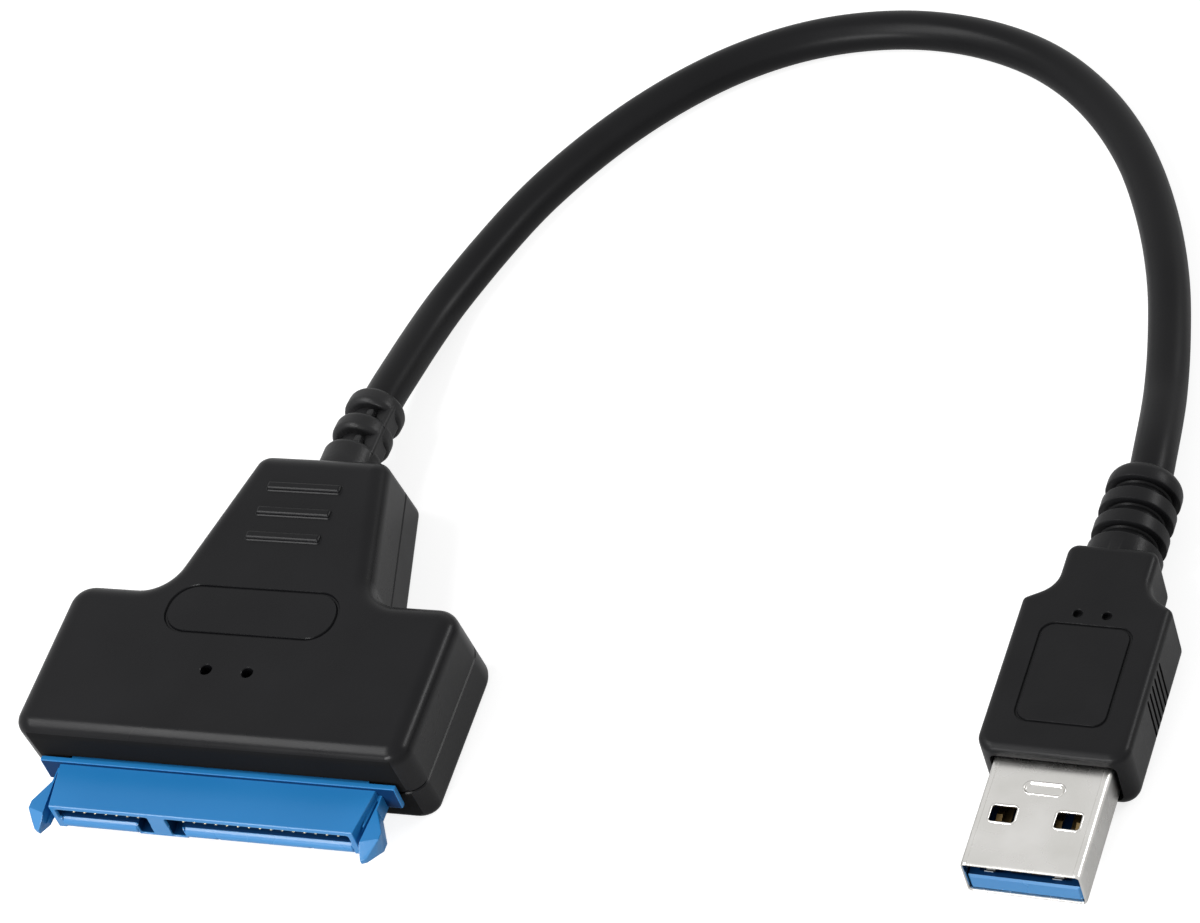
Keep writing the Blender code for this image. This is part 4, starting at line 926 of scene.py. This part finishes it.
# Front faces get the lighter, glossier blue as painted highlight. The slots' insides get the dark navy as
# painted shade.
dress(
    driveConnector, bluePlastic,
    (blueWithPaintedLight, lambda place, normal: place.y < mouth + 0.5 and normal.z < 0.98),
    (blueWithPaintedShade, inSlot),
)
contactTips = None
for first, count in zip(contacts["first"], contacts["count"]):
    section = rectangle(first, contacts["z"], contacts["width"], contacts["height"], contacts["radius"])
    nose = loft("contactTips", lengthwise(section, [(inset, mouth + y) for inset, y in contacts["nose"]], 3))
    contactTips = joinTo(contactTips, repeat(nose, count, (contacts["pitch"], 0, 0), contactGold))
smooth(contactTips)
dress(contactTips, contactGold)
print("drive connector made")


# Strain relief behind the housing, made straight about the Y axis and then bent

relief = {
    "z": 6.0,
    "seatY": 18.7,
    "seatRound": 0.15,
    "anchor": {"startY": 14.2, "length": 2.4, "diameter": 8.4, "round": 0.3},
    "neck": 5.0,
    "core": 4.2,
    "outer": 6.7,
    "baseEndY": 21.95,
    "rings": {"count": 2, "startY": 23.45, "length": 2.4, "pitch": 3.9, "sunk": 0.4},
    "round": 0.75,
    "bendY": 19.5,
    "bendRadius": 68.0,
    "web": {"inner": 1.2, "outer": 3.05, "height": 3.0, "z": 0.4, "radius": 0.5, "past": 0.8},
    "stub": {"x": 1.1, "width": 0.8, "height": 1.1, "z": 2.3, "radius": 0.25, "past": 0.5},
}


def ringProfile(radius, start, end, rounding, steps=7):
    turn = [math.pi / 2 * k / steps for k in range(steps + 1)]
    front = [(radius - rounding * (1 - math.sin(a)), start + rounding * (1 - math.cos(a))) for a in turn]
    back = [(radius - rounding * (1 - math.cos(a)), end - rounding * (1 - math.sin(a))) for a in turn]
    return front + back


def layRelief(point):
    along = point.y - relief["bendY"]
    if along > 0:
        angle = along / relief["bendRadius"]
        reach = relief["bendRadius"] + point.z
        y, z = relief["bendY"] + reach * math.sin(angle), reach * math.cos(angle) - relief["bendRadius"]
    else:
        share = min(1.0, -along / (relief["bendY"] - relief["seatY"]))
        y, z = point.y - housing["backLean"] * point.z / housing["height"] * share, point.z
    return Vector((point.x, y, z + relief["z"]))


def addPerRing(part):
    combine(reliefSleeve, repeat(part, rings["count"], (0, rings["pitch"], 0), reliefRubber), "UNION")


radius, core, neck = relief["outer"] / 2, relief["core"] / 2, relief["neck"] / 2
anchor, rings = relief["anchor"], relief["rings"]
anchorEnd = anchor["startY"] + anchor["length"]
profile = ringProfile(anchor["diameter"] / 2, anchor["startY"], anchorEnd, anchor["round"], 2)
profile += [(neck, anchorEnd + 0.01), (neck, relief["seatY"] - 0.01)]
profile += [(radius - relief["seatRound"], relief["seatY"])]
profile += [(radius, relief["seatY"] + relief["seatRound"]), (radius, relief["bendY"])]
profile += ringProfile(radius, relief["bendY"], relief["baseEndY"], relief["round"])[8:]  # its far end only
lastEnd = rings["startY"] + rings["pitch"] + rings["length"]
coreLength = lastEnd - relief["baseEndY"]
profile += [(core, relief["baseEndY"] + 0.02)]
profile += [(core, relief["baseEndY"] + coreLength * k / 8) for k in range(1, 8)]
profile += [(core, lastEnd - 0.3)]
reliefSleeve = turned("reliefSleeve", profile)
ringEnd = rings["startY"] + rings["length"]
profile = [(core - rings["sunk"], rings["startY"] + 0.05)]
profile += ringProfile(radius, rings["startY"], ringEnd, relief["round"])
profile += [(core - rings["sunk"], ringEnd - 0.05)]
addPerRing(turned("reliefRib", profile))
web, stub = relief["web"], relief["stub"]
gapStart = relief["baseEndY"]
gapLength = rings["startY"] - gapStart
webX, webWidth = (web["inner"] + web["outer"]) / 2, web["outer"] - web["inner"]
webRect = rectangle(webX, web["z"], webWidth, web["height"], web["radius"])
webRun = [(0, gapStart - web["past"]), (0, gapStart + gapLength / 2), (0, gapStart + gapLength + web["past"])]
addPerRing(loft("web", lengthwise(webRect, webRun, 5)))
stubRect = rectangle(stub["x"], stub["z"], stub["width"], stub["height"], stub["radius"])
stubRun = [(0, gapStart - stub["past"]), (0, gapStart + gapLength * 0.4), (0.15, gapStart + gapLength * 0.55)]
addPerRing(loft("stub", lengthwise(stubRect, stubRun, 4)))
for vert in reliefSleeve.data.vertices:
    vert.co = layRelief(vert.co / mm) * mm
smooth(reliefSleeve, 40)
dress(reliefSleeve, reliefRubber)
print("strain relief made")


# USB plug, made about its own axis and then laid on the table

plug = {"x": 86.6, "y": -24.9, "z": 4.0, "turn": -1.97}
plugTurn = Matrix.Rotation(math.radians(plug["turn"]), 4, "Z")
plugPlace = Matrix.Translation(Vector((plug["x"], plug["y"], plug["z"])) * mm) @ plugTurn

grip = {
    "width": 15.4,
    "thickness": 8.0,
    "frontY": 12.6,
    "frontRadius": 1.9,
    "shoulderY": 31.5,
    "shoulderRadius": 0.7,
    "neck": 9.4,
    "neckY": 33.4,
    "neckFillet": 3.0,
    "backY": 38.8,
    "backRadius": 1.2,
    "topFillet": 0.9,
    "baseFillet": 1.7,
    "filletStrip": 0.3,
    "panel": (9.6, 12.5),
    "panelY": 22.3,
    "panelRadius": 1.6,
    "line": {"width": 0.36, "depth": 0.20, "slant": 0.10},
    "dots": {"y": 29.8, "pitch": 3.0, "diameter": 1.0, "depth": 0.6, "flare": 0.06},
    "pocket": {"radius": 0.7, "mouth": ((-0.2, -2), (-0.2, -0.1), (0, 0.3)), "endY": 16.5},
}
ridges = {
    "count": 6,
    "pitch": 0.94,
    "width": 0.42,
    "firstY": 20.65,
    "depth": 0.30,
    "radius": 0.14,
    "low": -3.2,
    "high": 3.0,
    "taper": (0.12, 0.3),
}
sleeve = {
    "startY": 36.0,
    "startRound": 0.6,
    "outer": 7.9,
    "core": 5.9,
    "coreRound": 0.15,
    "grooveY": 40.7,
    "count": 3,
    "pitch": 3.0,
    "groove": 1.35,
    "grooveEdge": ((0.0, 0.18), (0.05, 0.06), (0.18, 0.0)),
    "endY": 50.6,
    "round": 1.5,
}
steel = {
    "width": 12.0,
    "height": 4.5,
    "wall": 0.3,
    "radius": 0.55,
    "endY": 16.2,
    "outerLip": ((0.0, 0.35), (0.03, 0.12), (0.10, 0.0), (0.2, 0.0)),
    "innerLip": ((-0.03, 0.1), (0.0, 0.3)),
    "windows": {"inner": 2.0, "outer": 4.5, "startY": 5.3, "endY": 7.2, "radius": 0.28, "spare": 0.05},
    "windowRim": ((-0.22, -0.08), (-0.19, 0.05), (-0.10, 0.09), (-0.01, 0.05), (0.03, -0.1), (-0.02, -0.2)),
    "dimple": {"length": 4.0, "width": 1.3, "y": 9.65, "depth": 0.24},
    "dimpleRim": ((-0.16, -0.06), (-0.14, 0.03), (-0.07, 0.06), (0.0, 0.03), (0.04, -0.06), (0.0, -0.1)),
    "fold": {"inset": 0.72, "half": 0.04, "depth": 0.05},
    "seam": {"x": 0.4, "width": 0.08, "depth": 0.1},
}
springs = {
    "x": -3.4,
    "count": 2,
    "pitch": 6.8,
    "half": 0.45,
    "thick": 0.16,
    "strip": ((0.45, 0.75), (0.65, 0.42), (0.95, 0.26), (1.3, 0.42), (2.6, 1.1), (4.6, 1.72)),
}
tongue = {
    "half": 5.60,
    "bottom": -1.86,
    "top": 0.19,
    "frontY": 0.16,
    "frontEdge": 0.22,
    "baseY": 9.0,
    "baseTop": 1.65,
    "endY": 14.6,
    "radius": 0.15,
    "channel": {"y": 8.5, "width": 9.2, "length": 15.2, "depth": 0.45, "roof": 0.8},
}

halfWidth, halfNeck, halfThick = grip["width"] / 2, grip["neck"] / 2, grip["thickness"] / 2
gripSide = [
    (halfWidth, grip["frontY"], grip["frontRadius"]),
    (halfWidth, grip["shoulderY"], grip["shoulderRadius"]),
    (halfNeck, grip["neckY"], grip["neckFillet"]),
    (halfNeck, grip["backY"], grip["backRadius"]),
]
gripOutline = gripSide + [(-x, y, r) for x, y, r in reversed(gripSide)]
under, over, strip = grip["baseFillet"], grip["topFillet"], grip["filletStrip"]
profile = [(under + strip, -halfThick)]
profile += reversed(fillet(0.0, -halfThick + under, under, -halfThick, 8))
profile += [(0.0, -halfThick + under + strip), (0.0, halfThick - over - strip)]
profile += fillet(0.0, halfThick - over, over, halfThick, 7)
profile += [(over + strip, halfThick)]
plugGrip = loft("plugGrip", upright(gripOutline, profile, 10))
outer, core, ease = sleeve["outer"] / 2, sleeve["core"] / 2, sleeve["coreRound"]
profile = [(outer - sleeve["startRound"], sleeve["startY"])]
profile += [(outer, sleeve["startY"] + sleeve["startRound"])]
for k in range(sleeve["count"]):
    start = sleeve["grooveY"] + k * sleeve["pitch"]
    end = start + sleeve["groove"]
    profile += [(outer - inset, start - away) for inset, away in sleeve["grooveEdge"]]
    profile += [(core + ease, start), (core, start + ease), (core, end - ease), (core + ease, end)]
    profile += [(outer - inset, end + away) for inset, away in reversed(sleeve["grooveEdge"])]
roundY = sleeve["endY"] - sleeve["round"]
profile += [(outer, roundY - strip)]
profile += [(outer - inset, y) for inset, y in fillet(0.0, roundY, sleeve["round"], sleeve["endY"], 8)]
combine(plugGrip, turned("sleeve", profile), "UNION")
narrow, taper = ridges["taper"]
rise = [(narrow, ridges["low"]), (0.0, ridges["low"] + taper)]
rise += [(0.0, ridges["high"] - taper), (narrow, ridges["high"])]
for side in (-1, 1):
    ridgeRect = rectangle(
        side * halfWidth, ridges["firstY"], 2 * ridges["depth"], ridges["width"], ridges["radius"])
    ridge = loft("ridges", upright(ridgeRect, rise, 4))
    combine(plugGrip, repeat(ridge, ridges["count"], (0, ridges["pitch"], 0), gripPlastic))
cutPanelLine(
    plugGrip, rectangle(0, grip["panelY"], *grip["panel"], grip["panelRadius"]), halfThick, grip["line"], 10)
dots = grip["dots"]
for side in (-1, 1):
    combine(plugGrip, roundRod(
        "dot", side * dots["pitch"] / 2, dots["y"], dots["diameter"],
        halfThick - dots["depth"], halfThick + 0.05, 24, dots["flare"]))
pocket = grip["pocket"]
pocketRect = rectangle(0, 0, steel["width"] + 2 * gap, steel["height"] + 2 * gap, pocket["radius"])
pocketRun = [(inset, grip["frontY"] + y) for inset, y in pocket["mouth"]] + [(0, pocket["endY"])]
combine(plugGrip, loft("pocket", lengthwise(pocketRect, pocketRun, 5)))
smooth(plugGrip)
setPlace(plugGrip, plugPlace)
dress(plugGrip, gripPlastic)
print("plug grip made")


# Steel shell and blue tongue of the plug

def rimAlong(corners, profile, steps):
    rings = upright(corners, [(inset, steelTop + rise) for inset, rise in profile], steps)
    return loft("shellRims", rings, closed=True)


def slit(name, xs, zs):
    # A thin box along the whole shell.
    ys = (-beyond, steel["endY"] + beyond)
    return hull(name, [(x, y, z) for x in xs for y in ys for z in zs])


steelTop = steel["height"] / 2
section = rectangle(0, 0, steel["width"], steel["height"], steel["radius"])
profile = [(0.0, steel["endY"]), *steel["outerLip"]]
profile += [(steel["wall"] + inset, y) for inset, y in steel["innerLip"]]
profile += [(steel["wall"], steel["endY"])]
plugShell = loft("plugShell", lengthwise(section, profile, 8), closed=True)
latch = steel["windows"]
shellRims = None
for side in (-1, 1):
    middleX, middleY = side * (latch["inner"] + latch["outer"]) / 2, (latch["startY"] + latch["endY"]) / 2
    latchRect = rectangle(
        middleX, middleY, latch["outer"] - latch["inner"], latch["endY"] - latch["startY"], latch["radius"])
    for up in (-1, 1):
        cutter = upright(latchRect, [
            (-latch["spare"], up * (steelTop + 0.08)), (-latch["spare"], up * (steelTop - 0.6))], 4)
        combine(plugShell, loft("latchHole", cutter))
    shellRims = joinTo(shellRims, rimAlong(latchRect, steel["windowRim"], 4))
dimple = steel["dimple"]
oval = rectangle(0, dimple["y"], dimple["length"], dimple["width"], dimple["width"] / 2 - 0.02)
dimpleFloor = steelTop - dimple["depth"]
sink = [(0.0, steelTop + 0.12), (0.02, steelTop), (0.14, dimpleFloor + 0.03), (0.20, dimpleFloor)]
combine(plugShell, loft("dimple", upright(oval, sink, 10)))
shellRims = joinTo(shellRims, rimAlong(oval, steel["dimpleRim"], 10))
fold, seam = steel["fold"], steel["seam"]
for side in (-1, 1):
    foldX = side * (steel["width"] / 2 - fold["inset"])
    across = (foldX - fold["half"], foldX + fold["half"])
    combine(plugShell, slit("fold", across, (steelTop - fold["depth"], steelTop + 0.2)))
smooth(shellRims, 60)
setPlace(shellRims, plugPlace)
dress(shellRims, shellSteel)
across = (seam["x"], seam["x"] + seam["width"])
combine(plugShell, slit("seam", across, (-steelTop - 0.2, -steelTop + seam["depth"])))
smooth(plugShell, 40)
setPlace(plugShell, plugPlace)
dress(plugShell, shellSteel)

half, thick = springs["half"], springs["thick"]
leafSection = ((-half, 0), (half, 0), (half, thick), (-half, thick))
leaf = loft("shellSprings", [
    [Vector((springs["x"] + across, y, z + rise)) for across, rise in leafSection]
    for y, z in springs["strip"]
])
shellSprings = repeat(leaf, springs["count"], (springs["pitch"], 0, 0), shellSteel)
smooth(shellSprings, 50)
setPlace(shellSprings, plugPlace)
dress(shellSprings, shellSteel)


def tongueBlock(name, roofZ, run):
    middle, height = (tongue["bottom"] + roofZ) / 2, roofZ - tongue["bottom"]
    section = rectangle(0, middle, 2 * tongue["half"], height, tongue["radius"])
    return loft(name, lengthwise(section, run, 3))


frontY, baseY, frontEdge = tongue["frontY"], tongue["baseY"], tongue["frontEdge"]
bladeRun = [(frontEdge, frontY), (0.0, frontY + frontEdge), (0.0, baseY + 0.3)]
plugTongue = tongueBlock("plugTongue", tongue["top"], bladeRun)
baseRun = [(0.1, baseY), (0.0, baseY + 0.1), (0.0, tongue["endY"])]
combine(plugTongue, tongueBlock("base", tongue["baseTop"], baseRun), "UNION")
channel = tongue["channel"]
channelRect = rectangle(0, channel["y"], channel["width"], channel["length"], sharpRadius)
channelZ = (tongue["top"] - channel["depth"], tongue["baseTop"] - channel["roof"])
combine(plugTongue, prismXY("channel", channelRect, *channelZ, 2))
smooth(plugTongue)
# The tongue's front keeps the lighter blue as painted highlight. Its faces further in get the dark navy as
# painted shade.
dress(plugTongue, blueWithPaintedLight, (blueWithPaintedShade, lambda place, normal: place.y > frontY + 0.5))
setPlace(plugTongue, plugPlace)
print("plug shell and tongue made")


# CAD nodes that stay

def finishNodes(names, material):
    for name in names:
        data = cadNodes[name].data
        data.materials.clear()
        data.materials.append(material)


boardGreen = newMaterial("boardGreen", (0.010, 0.110, 0.045), 0.38)
addMottle(boardGreen, 500, (0.008, 0.095, 0.038), (0.014, 0.135, 0.055), 0.32, 0.45)
chipBlack = newMaterial("chipBlack", (0.015, 0.015, 0.016), 0.55)
addGrain(chipBlack, 6000, 0.02)
tinPlate = newMaterial("tinPlate", (0.72, 0.71, 0.69), 0.30, metallic=1.0)
addGrain(tinPlate, 3000, 0.01)
ceramicTan = newMaterial("ceramicTan", (0.42, 0.30, 0.18), 0.5)
addGrain(ceramicTan, 5000, 0.02)
ferriteGrey = newMaterial("ferriteGrey", (0.09, 0.09, 0.095), 0.6)
addGrain(ferriteGrey, 4000, 0.03)
lensRed = newMaterial("lensRed", (0.55, 0.05, 0.04), 0.2)
addGrain(lensRed, 3000, 0.005)
lensBlue = newMaterial("lensBlue", (0.05, 0.16, 0.65), 0.2)
addGrain(lensBlue, 3000, 0.005)
finishNodes([n for n in cadNodes if n.startswith("sata_contact_")], contactGold)
# The plug's contacts get the dark gold: painted shade inside the shell.
finishNodes([n for n in cadNodes if n.startswith("usb_contact_")], goldWithPaintedShade)
finishNodes(["circuit_board"], boardGreen)
finishNodes(["bridge_chip", "flash_memory", "voltage_regulator"], chipBlack)
finishNodes(["crystal"], tinPlate)
finishNodes(["capacitor_1", "capacitor_2", "capacitor_3"], ceramicTan)
finishNodes(["inductor"], ferriteGrey)
finishNodes(["power_led"], lensRed)
finishNodes(["activity_led"], lensBlue)
wireColours = {
    "red": (0.60, 0.03, 0.02),
    "white": (0.80, 0.80, 0.78),
    "green": (0.03, 0.35, 0.08),
    "black": (0.02, 0.02, 0.02),
    "blue": (0.03, 0.12, 0.55),
    "yellow": (0.80, 0.62, 0.05),
    "purple": (0.28, 0.08, 0.42),
    "orange": (0.85, 0.28, 0.03),
}
for word, colour in wireColours.items():
    insulation = newMaterial(word + "Insulation", colour, 0.42)
    addGrain(insulation, 2500, 0.008)
    finishNodes(["wire_" + word], insulation)
print("CAD nodes finished")


# Riding and replacing

pieces = (
    (housingTop, "upper_shell", "housing_plastic"),
    (housingBase, "lower_shell", "housing_plastic"),
    (driveConnector, "sata_connector_body", "blue_plastic"),
    (reliefSleeve, "sata_strain_relief", "black_rubber"),
    (cableJacketPiece, "cable", "black_rubber"),
    (plugGrip, "usb_overmould", "housing_plastic"),
    (plugShell, "usb_shell", "nickel"),
    (plugTongue, "usb_insulator", "blue_plastic"),
)
for piece, node, slot in pieces:
    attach(piece, "root")
    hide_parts(node)
for piece, slot in ((contactTips, "gold"), (shellSprings, "nickel"), (shellRims, "nickel")):
    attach(piece, "root")
onCord = [plugGrip, plugShell, plugTongue, shellSprings, shellRims]
onCord += [cadNodes[n] for n in cadNodes if n.startswith("usb_contact_")]


print("scene done")
